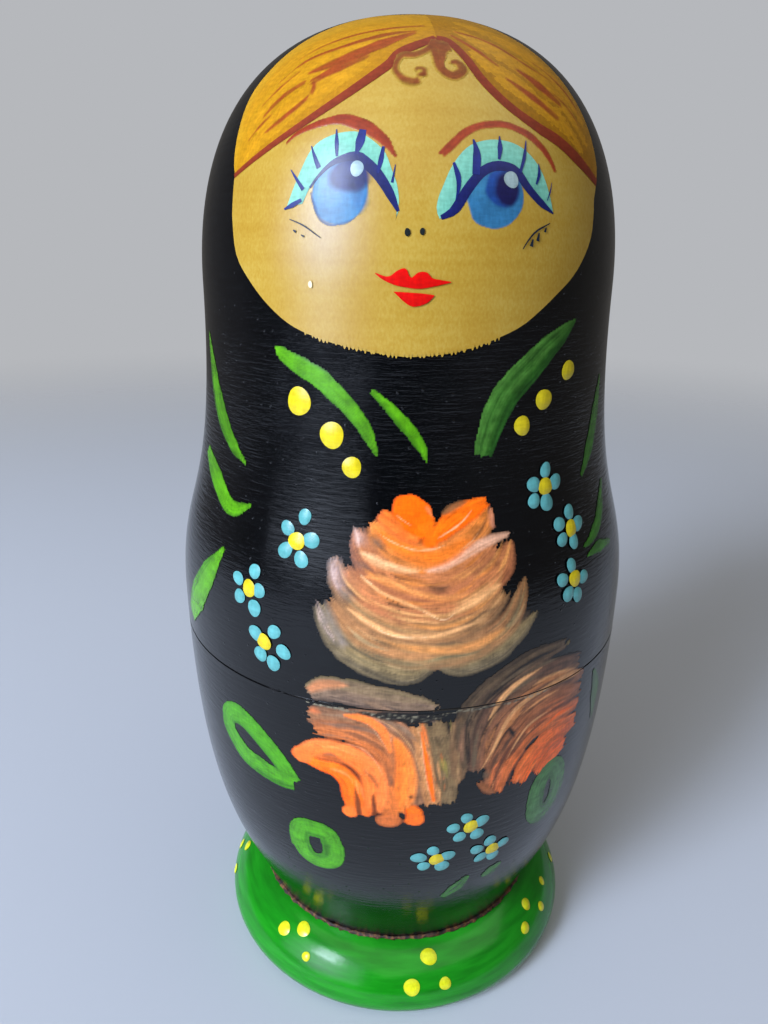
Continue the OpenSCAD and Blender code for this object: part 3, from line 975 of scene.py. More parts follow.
# The roses
# Broad strokes of ochre and orange dragged wet over the black with a flat brush, so they melt together
# where they cross: a nest of cups round a bright bud, and under it two fans that were opened at the seam.
khaki = ["#5c5140", "#86714c", "#94794e"]
sand = ["#84603e", "#b07848", "#986842"]
clay = ["#96583a", "#c07444", "#a8643c"]
peach = ["#c07c46", "#e2a468", "#cc8c54"]
cream = ["#d89c64", "#f0c894", "#dca870"]
orange = ["#e06a22", "#f47c2a", "#e88038"]
bright = ["#ff5a02", "#ff6c0c", "#fa6a10"]
# Oil paint blended wet: satin, with the marks of the bristles left in it
oil_paint = brushed_paint("blended_oil_paint_on_black", roughness=0.27, shine=0.35, fibre=0.3 * mm)
roses = ground([(-24, 42.5), (51, 93)], spare=0.8, cell=0.19, tone=night)


def flick(field, guides, tints, count, widest):
    """Short strokes of mixed colours between some guide lines; each gap between guides has its tints."""
    for i in range(count):
        gap = brush.integers(len(guides) - 1)
        start = 0.8 * brush.random()
        share = brush.random()
        end = min(1, start + 0.18 + 0.3 * brush.random())
        run = between(guides[gap], guides[gap + 1], share, start, end)
        wide = widest * (0.35 + 0.65 * brush.random())
        tint = tints[gap][brush.integers(len(tints[gap]))]
        widths = (0.3 * wide, wide, 0.8 * wide, 0.2 * wide)
        drag(field, run, widths, [tint], (0.85,), dry=0.8, ragged=0.6, soft=0.3)


# The upper rose from its outer cup to its bud: broad strokes, short ones over them, shadows, then lights
cup_1 = [
    (-17.4, 78.6), (-14.8, 74.8), (-10.4, 71.8), (-3.8, 69.8), (2.6, 68.9), (7.8, 70.6), (12.8, 69.8),
    (19.3, 70.8), (24.5, 72.7), (28.6, 74.7), (31.2, 76.5),
]
cup_2 = [
    (-15.6, 79.5), (-11.6, 76.2), (-6.6, 73.6), (-0.5, 72.4), (5.7, 71.9), (11.9, 72), (17.6, 72.9),
    (22.5, 74.6), (25.4, 77), (28.3, 81.8),
]
cup_3 = [
    (-14.9, 84.6), (-12.8, 81.3), (-8.2, 78.6), (-2.6, 76.7), (3.5, 75.7), (9, 75.4), (14.6, 76.4),
    (19.4, 78.4), (22.4, 80.6),
]
cup_4 = [(-12, 83.4), (-8.1, 80.6), (-2, 79), (5, 78.4), (12, 79), (18, 80.8), (22.6, 82.8), (25.4, 86.5)]
cup_5 = [
    (-10, 88.3), (-8.1, 85.2), (-4, 82.9), (2, 81.6), (7.6, 81.4), (12.6, 82.2), (17.5, 84),
    (21.8, 86.4),
]
cup_6 = [
    (-7.4, 89.3), (-3.9, 86.8), (0.5, 85), (5.5, 84.2), (9.8, 84.7), (13.9, 86.1), (18, 88.2),
    (20.4, 91),
]
for line, width, tints, load in [
    (cup_1, (2.4, 4, 5, 5, 4.6, 3, 3.8, 4.4, 4.4, 3.4, 1), khaki, (0.8, 0.9, 0.85)),
    (cup_2, (2, 4, 5, 5.5, 5.5, 5.5, 5, 4.5, 3.6, 0.8), sand, (0.65, 0.9, 0.9, 0.65)),
    (cup_3, (1.8, 4.4, 6, 6.5, 7, 7, 6.5, 5.5, 4), sand, (0.65, 0.9, 0.9, 0.85)),
    (cup_4, (3, 5.4, 6, 6, 6, 5.6, 4.6, 1.4), clay, (0.65, 0.9, 0.9, 0.75)),
    (cup_5, (2.2, 5, 6, 6.4, 6.4, 6, 5, 2.4), clay, (0.7, 0.9, 0.9, 0.85)),
    (cup_6, (2.4, 4.6, 5, 5, 5, 4.8, 4.4, 1.8), ["#b4703c", "#da7a30", "#c86c30"],
     (0.75, 0.95, 0.95, 0.9)),
]:
    drag(roses, line, width, tints, load, dry=0.5, ragged=1.4, soft=0.7)
cup_tints = [
    ["#7c6a48", "#94784c", "#5c5038", "#a08258"], ["#8c6c46", "#b4824e", "#6a5236", "#c08c58"],
    ["#96683c", "#cc8444", "#5c4028", "#e0a060"], ["#a8643a", "#d47e3c", "#64402a", "#e49850"],
    ["#b86a30", "#e87c30", "#744424", "#f09850"],
]
flick(roses, [cup_1, cup_2, cup_3, cup_4, cup_5, cup_6], cup_tints, count=130, widest=1.3)
for line, width, tint, load in [
    ([(-14.6, 84.4), (-13.4, 81.4), (-11.4, 79)], (2.6, 3.4, 2), "#8a7068", 0.65),
    ([(-10, 88.2), (-8.8, 86.4), (-8, 84.6)], (2, 2.8, 2), "#a07a68", 0.6),
    ([(-17, 78.4), (-15.6, 76.6), (-13.6, 74.2), (-10, 71.8)], (2.4, 3.6, 3.4, 2), "#786a5e", 0.7),
    ([(-13.8, 80.4), (-11.1, 79.3), (-8.2, 78.6)], (2, 3, 1.6), "#6e5e54", 0.55),
    ([(-10.5, 83.9), (-7.9, 83.1), (-5, 82.5)], (1.4, 2, 1), "#5e4c42", 0.7),
    ([(-7.5, 86.9), (-5.3, 86.1), (-2.7, 85)], (2.2, 3, 1.4), "#7c5840", 0.7),
    ([(-3.4, 84.8), (0.5, 84.1), (3.8, 83.7)], (0.8, 1.5, 0.8), "#6a4424", 0.75),
    ([(4.4, 81.1), (8.3, 80.5), (12, 81.2)], (1.4, 2.4, 1.2), "#4c3426", 0.85),
    ([(-6, 78.6), (-1, 77.4), (4, 76.4)], (1.2, 2, 1.2), "#745232", 0.55),
    ([(13, 81.6), (16.6, 82.4), (20, 83.2), (23.4, 84.6)], (1, 2, 2.6, 1.4), "#74492c", 0.65),
    ([(15.4, 76.7), (19.4, 77.2), (23, 77.9)], (1, 2, 1), "#4a3828", 0.75),
    ([(11.2, 74.7), (15.3, 74.9), (20, 75.6)], (0.8, 1.8, 1), "#5a442a", 0.75),
    ([(-8, 75.2), (-3, 73.6), (2, 73)], (0.8, 1.4, 0.8), "#6a4e30", 0.6),
    ([(-4, 71.2), (4, 70.6), (10, 71), (18, 71.6)], (1.4, 2, 2, 1.4), "#867650", 0.5),
    ([(24.4, 74.6), (27, 75.4), (29.6, 76.4)], (1.4, 2, 1), "#6a5440", 0.6),
]:
    drag(roses, line, width, [tint], (load,), dry=0.8, ragged=0.8, soft=0.9)
for line, width, tints, load, soft in [
    ([(-5.3, 74.3), (-0.5, 73.2), (4.9, 72.6), (10.8, 72.3), (16.1, 72.7), (19.8, 73.6), (23.6, 74.7)],
     (0.8, 1.6, 2, 2, 2, 2, 0.8), ["#b87a40", "#dc904c", "#c88244"], (0.5, 0.8, 0.9), 0.6),
    ([(-11.4, 77.9), (-7.1, 76.3), (-2.9, 75), (0.8, 74.4), (5.6, 74.3), (9, 74.6), (12.5, 75.2),
      (16, 75.8)], (0.8, 1.5, 1.6, 1.4, 1.3, 1.3, 1.3, 0.7), peach, (1, 1, 0.8), 0.4),
    ([(-9.4, 77), (-2.9, 74.8), (2, 74.2), (8, 74.4)], (0.3, 0.6, 0.6, 0.3), cream, (0.9,), 0.2),
    ([(8.9, 76.7), (12.4, 77.8), (16.1, 78.8), (19.5, 79.7), (22.4, 80.6)], (0.7, 1.8, 2.2, 2.2, 1.2),
     peach, (0.85,), 0.6),
    ([(-9, 82.2), (-7, 81.2), (-3.5, 79.9), (0.7, 78.9), (4.8, 77.8), (9, 76.5)],
     (0.6, 1, 1, 0.9, 0.9, 0.6), peach, (0.9,), 0.3),
    ([(-8.9, 82.3), (-7, 81.4), (-5, 80.6)], (0.4, 0.7, 0.4), cream, (0.9,), 0.2),
    ([(2.6, 78.4), (5.4, 77.5), (9, 76.5), (12, 77.6)], (0.3, 0.5, 0.55, 0.3), cream, (0.9,), 0.2),
    ([(-8.6, 81.8), (-4.3, 81.7), (-0.8, 81), (3.4, 80), (8.2, 79.3), (12.5, 79.4), (15.4, 79.9)],
     (0.8, 1.7, 1.7, 1.6, 1.5, 1.4, 0.7), ["#c8743a", "#e08e4c", "#cc8044"], (0.9,), 0.5),
    ([(-9.6, 85), (-6.9, 84.3), (-3.7, 83.5), (0.6, 82.9), (4.8, 82.6)], (0.9, 1.9, 1.8, 1.5, 0.9),
     ["#cc905c", "#e4b480"], (0.9,), 0.5),
    ([(4.4, 82.5), (9, 83.2), (12.7, 84.3), (16.6, 85.4), (20.6, 86.1), (25.4, 86.6)],
     (0.9, 1.8, 2.1, 2.2, 2, 1.1), ["#b8805e", "#dca684", "#c48a68"], (0.9,), 0.5),
    ([(-5.6, 87.9), (-1.7, 86.1), (2.6, 84.9), (5.5, 84.3), (9.1, 84.4), (12.8, 85.5), (16.7, 86.9)],
     (1.4, 2.6, 3, 3, 3, 2.6, 1.4), ["#e06a1c", "#ee7620", "#dc6c20"], (0.8, 0.9, 0.85), 0.8),
    ([(-2.6, 85), (2, 84.3), (7, 83.6), (12, 84.6)], (0.4, 1, 1, 0.5), ["#a05a24"], (0.6,), 0.5),
    ([(13, 86), (16.4, 87.2), (19.6, 88.8)], (1.2, 2, 1), ["#a8622e"], (0.7,), 0.8),
    ([(-5.6, 90), (-2.5, 88.7), (1.2, 87.3), (4.8, 86.5)], (2.2, 3, 3.2, 2), ["#d8662a", "#f47020"],
     (0.75, 0.95, 1), 0.5),
    ([(4.8, 86), (8.4, 87.4), (11.5, 88.9), (15.3, 90), (20.2, 91.2)], (1.6, 3, 3.8, 3.4, 1.8), bright,
     (1, 1, 0.95), 0.5),
    ([(8.2, 89.3), (10.3, 90.1), (13, 90.8), (15.6, 91.2)], (0.8, 1.8, 1.6, 0.6), ["#74502f", "#8a5a34"],
     (0.8,), 0.5),
    ([(20.2, 90.6), (20.4, 88.7), (20.8, 87)], (1, 1.6, 1.2), ["#c87e5c"], (0.7,), 0.5),
    ([(1.6, 90.6), (2.8, 89.6), (4.6, 88.2), (6, 86.4)], (3.6, 5, 3.8, 1.2), bright, (1.2,), 0.4),
]:
    drag(roses, line, width, tints, load, dry=0.6, ragged=0.5, soft=soft)
dab(roses, (2.2, 90.2), 2.9, 2.2, "#ff6206", 1, 0.4, -25)
dab(roses, (6.2, 86.2), 1.3, 1.1, "#f0640c", 1, 0.6)
for line, width, tints, load in [
    ([(4.8, 91), (6.4, 89.8), (7.2, 88.8)], (0.6, 1, 0.4), ["#c87c50"], (0.6,)),
    ([(-6.1, 87.7), (-2.8, 86.5), (0.5, 85.7), (3.3, 85.3), (6.9, 85.4), (9.9, 85.9)],
     (0.3, 0.6, 0.6, 0.6, 0.6, 0.3), cream, (0.85,)),
    ([(11.4, 84.6), (14.7, 85.8), (16.7, 86.8), (18, 88)], (0.3, 0.5, 0.5, 0.3), cream, (0.75,)),
    ([(-1.9, 89.9), (0.4, 88.9), (3.7, 87.8)], (0.3, 0.6, 0.3), cream, (0.85,)),
    ([(6.2, 86.1), (9.2, 87.1), (12.2, 88.1), (14.5, 89.2), (16.5, 90.5)], (0.3, 0.65, 0.65, 0.55, 0.3),
     cream, (0.9,)),
    ([(7.1, 70.4), (9.1, 70.8)], (0.2, 0.25), ["#c8b890"], (0.6,)),
    ([(23.2, 74.9), (24.4, 75.6)], (0.5, 0.5), ["#060607"], (0.9,)),
]:
    drag(roses, line, width, tints, load, dry=0.6, ragged=0.5, soft=0.25)
# Painted highlight: pale pinkish speckles of broken glare over the left tips of the outer cups.
for line in [
    [(-10.4, 88.4), (-9.4, 86.4), (-8.8, 84.8)],
    [(-15, 84.5), (-14, 81.6), (-12.8, 79.6)],
    [(-17.8, 78.4), (-16.2, 75.8), (-13, 72.8)],
]:
    drag(roses, line, (0.8, 1.6, 0.8), ["#d8b4a4"], (0.2,), dry=1.6, ragged=0.6, soft=0.3)
for place in [(-2.6, 79.3), (-1.4, 79), (-0.4, 78.7), (-2.2, 78.6), (-0.2, 77.8), (0.4, 78.2)]:
    dab(roses, place, 0.22, 0.2, "#33231a", 0.8, 0.15)

# The lower left rose, the upright strokes between, and the lower right rose
left_fan = [
    [(-20.6, 64.2), (-15.6, 65.6), (-10.3, 65.6), (-4.8, 65.2), (0.6, 64.8), (5.6, 64.2), (9.8, 63.5)],
    [(-21, 61.2), (-15.7, 60.9), (-10.4, 61.1), (-5.6, 61.3), (-0.9, 60), (2.6, 57.2), (4.5, 53),
     (5, 46.4)],
    [(-19.6, 59), (-14.4, 59.3), (-9.9, 59.2), (-5.6, 58.2), (-1.7, 56), (0, 52), (0.6, 45)],
    [(-22.8, 54.6), (-18.3, 56), (-13.1, 56.4), (-8.7, 55.4), (-5.2, 53.2), (-3.4, 50), (-3, 45)],
    [(-22.4, 53), (-18.6, 52.4), (-13.3, 52.3), (-10.4, 51), (-9.8, 48), (-8.4, 44.4)],
]
middle_fan = [
    [(3.7, 62), (5.4, 57.8), (6.8, 52.3), (8.8, 46.2)],
    [(7.5, 62.2), (9.5, 57.6), (11.2, 52), (12, 46.2)],
    [(13.8, 62.4), (13.6, 57.4), (14, 52), (14.6, 50)],
]
right_fan = [
    [(40.9, 69.4), (31, 69), (24, 67.3), (18.6, 65), (15.3, 62.2), (14.7, 58.5), (16.2, 52.4)],
    [(47, 65.4), (33.7, 66), (25.8, 64.6), (21.6, 62.6), (19.1, 59.6), (17.7, 56), (17.4, 51.2)],
    [(49.4, 62.4), (37.4, 63.4), (28.8, 62.4), (23.4, 60.2), (20.9, 57), (19.3, 51.6)],
    [(49.4, 60), (36.7, 60.8), (29.4, 59), (25.6, 56), (22.6, 52.4), (21.2, 48.4)],
    [(49.2, 57.5), (39.5, 57.8), (31.6, 56.5), (27.6, 53.8), (25, 50.4), (24.2, 46.6)],
    [(49, 54.4), (39.2, 54.4), (34.4, 52.6), (31.3, 50.4), (29, 47)],
    [(46, 51.6), (40, 51), (37, 49), (35.4, 47)],
]
for line, width, tints, load in [
    (left_fan[0], (3, 4.8, 5, 4.8, 4.6, 3.4, 1.4), ["#5c4a40", "#80664e", "#70603e"], (0.95,)),
    (left_fan[1], (3.4, 5, 5, 5, 5, 4.6, 4, 3), ["#7c4e34", "#8a5c3c", "#7c5840"], (0.95,)),
    (left_fan[2], (3.4, 4, 4.4, 4.8, 5, 5, 3.6), ["#c0622c", "#b86634", "#8a5638"], (0.95,)),
    (middle_fan[0], (3, 3.4, 3.6, 3), ["#a86a3c", "#c4844e", "#b87a48"], (0.95,)),
    (middle_fan[1], (3.8, 4.2, 4.2, 3.4), ["#5e4a30", "#7c6240", "#6a5436"], (0.95,)),
    (middle_fan[2], (3.6, 4, 4, 2), ["#6a4e34", "#84603e", "#624a32"], (0.95,)),
    (right_fan[0], (2.4, 3.6, 4.2, 4.4, 4.2, 3.8, 2.6), ["#3e3022", "#5c4832", "#664a34"],
     (0.85, 0.85, 0.9)),
    (right_fan[1], (3, 4.4, 4.4, 4.2, 4, 3.8, 2.6), ["#4a3428", "#6c4a34", "#80583a"], (0.9,)),
    (right_fan[2], (2.6, 4, 4.4, 4.2, 3.8, 2.4), ["#6a4630", "#905a3a", "#8c5a38"], (0.95,)),
    (right_fan[3], (2.6, 4, 4.2, 4, 3.8, 2.4), ["#7c4a2c", "#a86238", "#9c5a30"], (0.95,)),
    (right_fan[4], (2.6, 4, 4.2, 4, 3.8, 2.2), ["#a85428", "#d46a30", "#b8602c"], (0.95,)),
    (right_fan[5], (3, 5, 5.4, 5, 3), ["#d05e20", "#f06c24", "#d8641f"], (1,)),
    (right_fan[6], (2.4, 4.8, 5, 2.6), ["#f0641a", "#ff6c14"], (1,)),
    ([(18.2, 50.6), (20.8, 48.8), (24.4, 46.8)], (1.6, 2.4, 1.4), ["#94562e"], (0.9,)),
]:
    drag(roses, line, width, tints, load, dry=0.7, ragged=1.2, soft=0.5)
left_tints = [
    ["#6a5448", "#c07a50", "#4c3c34", "#8a6a50"], ["#a06038", "#5c4434", "#d07a44", "#7c5a44"],
    ["#c8682e", "#7c4c30", "#f07c34", "#905c3c"], ["#d8621f", "#c05a24"],
]
middle_tints = [
    ["#c88a54", "#7c5a38", "#e07030", "#4c3c28"], ["#8a7048", "#54442e", "#8c7c3c", "#a07a50"],
]
right_tints = [
    ["#4a382a", "#1e1712", "#7c5c40", "#62503a"], ["#b4703e", "#3a281c", "#d09258", "#2a1e16"],
    ["#cc8048", "#4a3020", "#e0985c", "#5c3a26"], ["#d86e38", "#5c3420", "#ec8c4c", "#8c5230"],
    ["#f06c28", "#9c5024", "#fa8440", "#c8622c"], ["#ff6810", "#d85c20", "#ff7a28", "#c85a20"],
]
flick(roses, left_fan, left_tints, count=60, widest=1.6)
flick(roses, middle_fan, middle_tints, count=26, widest=1.2)
flick(roses, right_fan, right_tints, count=120, widest=1.6)
for line, width, tints in [
    ([(-0.8, 59.2), (1.3, 56.2), (2.1, 52.4), (1.6, 48.7), (0.7, 45.6)], (1.4, 3, 3.8, 4, 3), orange),
    ([(-2.6, 51), (-1.8, 47.4), (-0.4, 43.6)], (3, 3.4, 2.4), ["#c0622a", "#d86e2c"]),
    ([(-22, 53.9), (-18.3, 55.4), (-13.1, 55.8), (-8.7, 54.9), (-5.4, 52.6), (-4.6, 49), (-5.4, 45.4)],
     (2.8, 4, 4, 4.2, 4.4, 4.2, 3.2), ["#f06a22", "#fa7830", "#ee7838"]),
    ([(-21.6, 53.4), (-17.6, 52.8), (-13.3, 52.4), (-10.6, 50.6), (-9.8, 48), (-9, 45)],
     (2, 2.6, 3.4, 3.8, 3.8, 2.8), bright),
    ([(2.6, 47.2), (4.2, 45.6), (5, 44)], (2.2, 3.2, 2.6), bright),
]:
    drag(roses, line, width, tints, (1.05,), dry=0.35, ragged=0.2, soft=0.6)
for place, across, tall, tint in [
    ((-21.8, 53.8), 1.9, 1.7, "#f8702a"), ((-10.6, 45.2), 1.5, 1.4, "#fa7024"),
    ((-6.8, 45.6), 1.3, 1.2, "#f06a20"), ((4.4, 44.4), 1.7, 1.4, "#fa6c18"),
    ((-1.6, 44.2), 2.2, 1.5, "#c0622c"),
]:
    dab(roses, place, across, tall, tint, 1, 0.5)
flick(roses, left_fan[3:], [["#ff8a44", "#d8621f", "#ff7c30", "#e87436"]], count=16, widest=1.2)
for line, width, tint, load, soft in [
    ([(-20, 64.6), (-16.9, 65.9), (-13.8, 66.5), (-9.6, 66.7)], (1.6, 2.4, 2, 0.8), "#c0784c", 0.8, 0.6),
    ([(-20.4, 61.6), (-18, 61.8), (-16, 61.4)], (1, 1.8, 0.8), "#c8683a", 0.7, 0.6),
    ([(-19, 54.3), (-14.6, 54.6), (-10.6, 53.8)], (1, 2.2, 1), "#b45a26", 0.9, 0.7),
    ([(-17, 54.6), (-14.6, 55), (-12.6, 54.6)], (0.6, 1.2, 0.6), "#7c5038", 0.8, 0.5),
    ([(-9.4, 50), (-8.8, 47.6), (-8.4, 44.6)], (0.8, 1.6, 1.4), "#74340f", 0.95, 0.35),
    ([(-5.2, 49.6), (-5, 47.2), (-4.8, 44.6)], (0.7, 1.4, 1.4), "#642c0e", 0.95, 0.35),
    ([(-8.6, 54), (-5.4, 52), (-3.6, 49.6)], (0.6, 1.4, 0.8), "#a4562a", 0.9, 0.5),
    ([(-3.4, 57), (-2, 53.6), (-1.2, 50)], (0.5, 1.2, 0.6), "#94502a", 0.85, 0.5),
    ([(1.8, 47.6), (2.2, 46), (2.6, 44.6)], (0.4, 0.8, 0.4), "#5c3014", 0.85, 0.35),
    ([(2.2, 49.4), (3.4, 48.8), (4.6, 48.2)], (0.8, 1.8, 0.8), "#4c301c", 0.85, 0.6),
    ([(9.4, 56), (10.2, 54), (10.8, 52.4)], (0.8, 1.8, 0.8), "#8c7c36", 0.6, 0.7),
    ([(14.4, 61), (14, 57), (14.6, 53.6)], (0.8, 1.6, 1), "#9a6a4c", 0.6, 0.6),
    ([(20, 52.6), (20.6, 51.2), (21.2, 49.8)], (0.8, 2, 0.8), "#5c5240", 0.7, 0.8),
    ([(41.8, 69.7), (39.4, 69)], (1.4, 1.4), "#8c7440", 0.7, 0.6),
    ([(46.4, 65.2), (40, 65.6), (34, 65)], (0.6, 1.2, 0.6), "#4c3a32", 0.7, 0.5),
    ([(25, 58.9), (26, 57.8), (27.2, 56.5)], (0.8, 1.6, 0.6), "#160e09", 0.95, 0.4),
    ([(22.6, 60.8), (20.6, 58), (19.8, 55)], (0.4, 1, 0.4), "#3c3026", 0.75, 0.4),
    ([(33, 60.6), (28.6, 58.6), (25.4, 55)], (0.3, 0.9, 0.3), "#4c2a18", 0.85, 0.3),
    ([(28, 51.4), (27, 49.4), (27, 47.4)], (0.3, 0.8, 0.3), "#6a3818", 0.8, 0.3),
    ([(32.4, 49.6), (31.8, 48.4), (31.6, 47)], (0.3, 0.7, 0.4), "#6a3214", 0.8, 0.3),
    ([(38, 65), (29, 64), (23.6, 61.8)], (0.3, 0.8, 0.3), "#2c1f17", 0.85, 0.3),
    ([(17.8, 62), (16.8, 58.6), (17, 55)], (0.4, 1, 0.4), "#3a2c20", 0.8, 0.4),
]:
    drag(roses, line, width, [tint], (load,), dry=0.7, ragged=0.5, soft=soft)
for line, width, tints, load in [
    ([(-12, 62), (-6.9, 61.7), (-3.5, 60.3), (-2.2, 58.4), (-1.2, 56.2)], (0.7, 1.8, 2, 1.8, 0.9),
     ["#e8702c", "#f47c34"], (1,)),
    ([(-9.9, 61.4), (-6, 60.8), (-3.9, 59), (-1.4, 56.2)], (0.3, 0.5, 0.5, 0.3), cream, (0.85,)),
    ([(-1.6, 59.6), (-1.2, 57.8), (-1.2, 56.2)], (0.3, 0.5, 0.3), cream, (0.85,)),
    ([(-5.4, 62.6), (-0.1, 60.1), (3.4, 57), (5, 53.4)], (0.4, 0.7, 0.7, 0.4), peach, (0.75,)),
    ([(-12, 57.4), (-7.6, 56.8), (-4.4, 54.6), (-2.6, 51.4)], (0.4, 0.8, 0.7, 0.4), ["#ffa068"], (0.7,)),
    ([(-8.4, 54.8), (-6.9, 53.6), (-6.6, 52.4), (-9, 52.4)], (0.3, 0.5, 0.5, 0.3), peach, (0.75,)),
    ([(4.9, 60.6), (6.1, 56.4), (7.5, 51.5), (8.7, 47.4)], (0.6, 1.2, 1.4, 1), bright, (1,)),
    ([(4, 61.6), (5.2, 57.6), (6.4, 52.6), (8, 47.4)], (0.4, 0.6, 0.6, 0.4), cream, (0.7,)),
    ([(33.4, 67.2), (27.2, 65.9), (23, 64), (19.6, 60.4)], (0.5, 1.4, 1.6, 0.6), peach, (0.85,)),
    ([(43.9, 63.5), (34.4, 63.3), (28.3, 62.2), (24.5, 59.8), (21.7, 55.6), (18.9, 52)],
     (0.4, 1, 1.3, 1.3, 1.1, 0.6), peach, (0.8,)),
    ([(39.3, 59.5), (31.8, 58.4), (28.3, 56.4), (25, 52.6)], (0.4, 1, 1, 0.4), peach, (0.75,)),
    ([(30, 63), (25.4, 61), (22.6, 57.8)], (0.3, 0.45, 0.3), cream, (0.75,)),
    ([(48, 57.2), (40, 57.6), (34, 56)], (0.5, 1.4, 0.5), bright, (0.8,)),
    ([(36, 54.6), (31.4, 52.6), (28.4, 49.4)], (0.4, 1.2, 0.5), orange, (0.9,)),
]:
    drag(roses, line, width, tints, load, dry=0.7, ragged=0.5, soft=0.3)
# Along the seam the paint has chipped down to grey filler
chips = 60
filler = ["#948b74", "#5c5848", "#34302a", "#847c66"]
for line, width in [
    ([(-11.6, 62.8), (-6, 62.6), (0, 62.3), (5, 62.1), (9, 62.4), (13, 62.9)],
     (0.5, 1.1, 1.9, 2.2, 1.5, 0.4)),
    ([(13, 62.9), (20, 62.9), (27, 62.9), (36, 62.9)], (0.4, 0.9, 0.7, 0.2)),
    ([(-20, 62.9), (-15, 62.9), (-11, 62.8)], (0.2, 0.5, 0.6)),
]:
    drag(roses, line, width, ["#0c0b09", "#1c1915", "#0c0b09"], (1,), dry=0.4, ragged=0.6, soft=0.25)
    run = between(line, line, 0)
    for i in range(chips):
        share = brush.random()
        angle, height = run[int(share * (len(run) - 1))]
        thin = np.interp(share, np.linspace(0, 1, len(width)), width)
        place = (angle + 0.8 * (brush.random() - 0.5), height + 0.6 * thin * (brush.random() - 0.5))
        grey = filler[brush.integers(len(filler))]
        across = 0.15 + 0.4 * brush.random()
        tall = 0.1 + 0.1 * brush.random()
        dab(roses, place, across, tall, grey, 0.7, 0.12)
dried(roses)
rose_strokes = gather("roses", oil_paint)


def part_at_seam(piece):
    """Cuts paint through at the seam, as opening the doll does, and gives its upper and lower pieces."""
    halves = []
    for half, above in (("upper", True), ("lower", False)):
        bpy.ops.object.select_all(action="DESELECT")
        piece.select_set(True)
        bpy.context.view_layer.objects.active = piece
        bpy.ops.object.duplicate(linked=False)
        copy = bpy.context.object
        copy.name = f"{piece.name}_{half}"
        bpy.ops.object.mode_set(mode="EDIT")
        bpy.ops.mesh.select_all(action="SELECT")
        cut = seam_height + (worn_edge if above else -worn_edge)
        bpy.ops.mesh.bisect(
            plane_co=(0, 0, cut * mm), plane_no=(0, 0, 1), clear_inner=above, clear_outer=not above
        )
        bpy.ops.object.mode_set(mode="OBJECT")
        halves.append(copy)
    bpy.data.objects.remove(piece)
    return halves


rose_over, rose_under = part_at_seam(rose_strokes)
nest(rose_over, "upper")
nest(rose_under, "lower")

# The leaf loops on the lower half
# Open loops of green, two thick strokes each, that stand for leaves under the roses, and four plain
# strokes beside them.
loop = ["#266208", "#438b10", "#37780c"]
# Painted shade: the loops and strokes on the right-hand side are mixed in darker greens than the loops on
# the left.
shaded_loop = ["#1f4a16", "#346826", "#28541c"]
for sides, width, tints, load in [
    ([[(-45, 51.6), (-44.8, 54.4), (-42, 55.8), (-38, 55.6), (-33, 53.8), (-28, 51), (-24.2, 47.8)],
      [(-44.6, 54.2), (-45, 52.2), (-40, 49.2), (-34, 48.3), (-28, 47.8), (-24.2, 48)]],
     (3.6, 4.2, 4, 3.2), loop, 1),
    ([[(-25, 34), (-25, 37.4), (-23.6, 39.4), (-20.3, 39.8), (-17, 39.4), (-15.6, 37)],
      [(-15.7, 38), (-15.8, 35), (-17.4, 33.4), (-20.6, 32.8), (-23.6, 33.6), (-25, 36)]],
     (4,), loop, 1),
    ([[(37, 42), (37.2, 45), (39.2, 47.2), (41.8, 47.4), (44.2, 45.6), (45.2, 43)],
      [(45.2, 44), (44.8, 41), (42.6, 38.6), (40, 38.4), (37.8, 40), (37, 43)]],
     (4.2,), ["#2c5c24", "#447c3a", "#38682e"], 0.95),
    ([[(20.5, 30.4), (17.5, 27.6), (13.5, 25)], [(30.5, 31), (27.5, 29.6), (24.5, 28.4)]],
     (1.2, 3.2, 1.6), shaded_loop, 0.95),
    ([[(54, 61.5), (57, 57), (59, 50.5)], [(55, 61), (58, 57), (59.6, 51)]], (1, 3.2, 1),
     ["#2c5c20", "#3c7428"], 0.85),
]:
    blade = ground(sides[0] + sides[1], spare=2.2, cell=0.2, tone=night)
    for line in sides:
        drag(blade, line, width, tints, (load,), dry=0.5, ragged=0.3, soft=0.3)
    dried(blade)
loops = gather("leaf_loops", leaf_green)
nest(loops, "lower")

# The joint between body and foot
# Glue and reddish undercoat squeezed out along the crease and left rough.
squeezed_out, tree, shader = finish("glue_and_undercoat_dried_rough", {"Roughness": 0.7})
place = add(tree, "ShaderNodeTexCoord", {}).outputs["Object"]
speck_noise = {"Vector": place, "Scale": 1 / (0.8 * mm), "Detail": 2}
specks = add(tree, "ShaderNodeTexNoise", speck_noise).outputs["Fac"]
browns = [(0.35, "#180c06"), (0.5, "#3a1e0c"), (0.65, "#6a4420")]
brown = add(tree, "ShaderNodeValToRGB", {"Fac": specks}, browns)
tree.links.new(brown.outputs["Color"], shader.inputs["Base Color"])
bead_r = 0.34
bead_out = 0.15
bead_up = 0.12
bead_rough = 0.4
bpy.ops.object.select_all(action="DESELECT")
bpy.ops.mesh.primitive_torus_add(
    major_segments=240, minor_segments=8, major_radius=(crease_r + bead_out) * mm,
    minor_radius=bead_r * mm, location=(0, 0, (foot_height + bead_up) * mm)
)
joint_line = bpy.context.object
joint_line.name = "joint_line"
bpy.ops.object.transform_apply()
places = np.empty(len(joint_line.data.vertices) * 3, np.float32)
joint_line.data.vertices.foreach_get("co", places)
places += (brush.random(len(places)) - 0.5) * bead_rough * mm
joint_line.data.vertices.foreach_set("co", places)
joint_line.data.materials.append(squeezed_out)
bpy.ops.object.shade_smooth()
nest(joint_line, "lower")

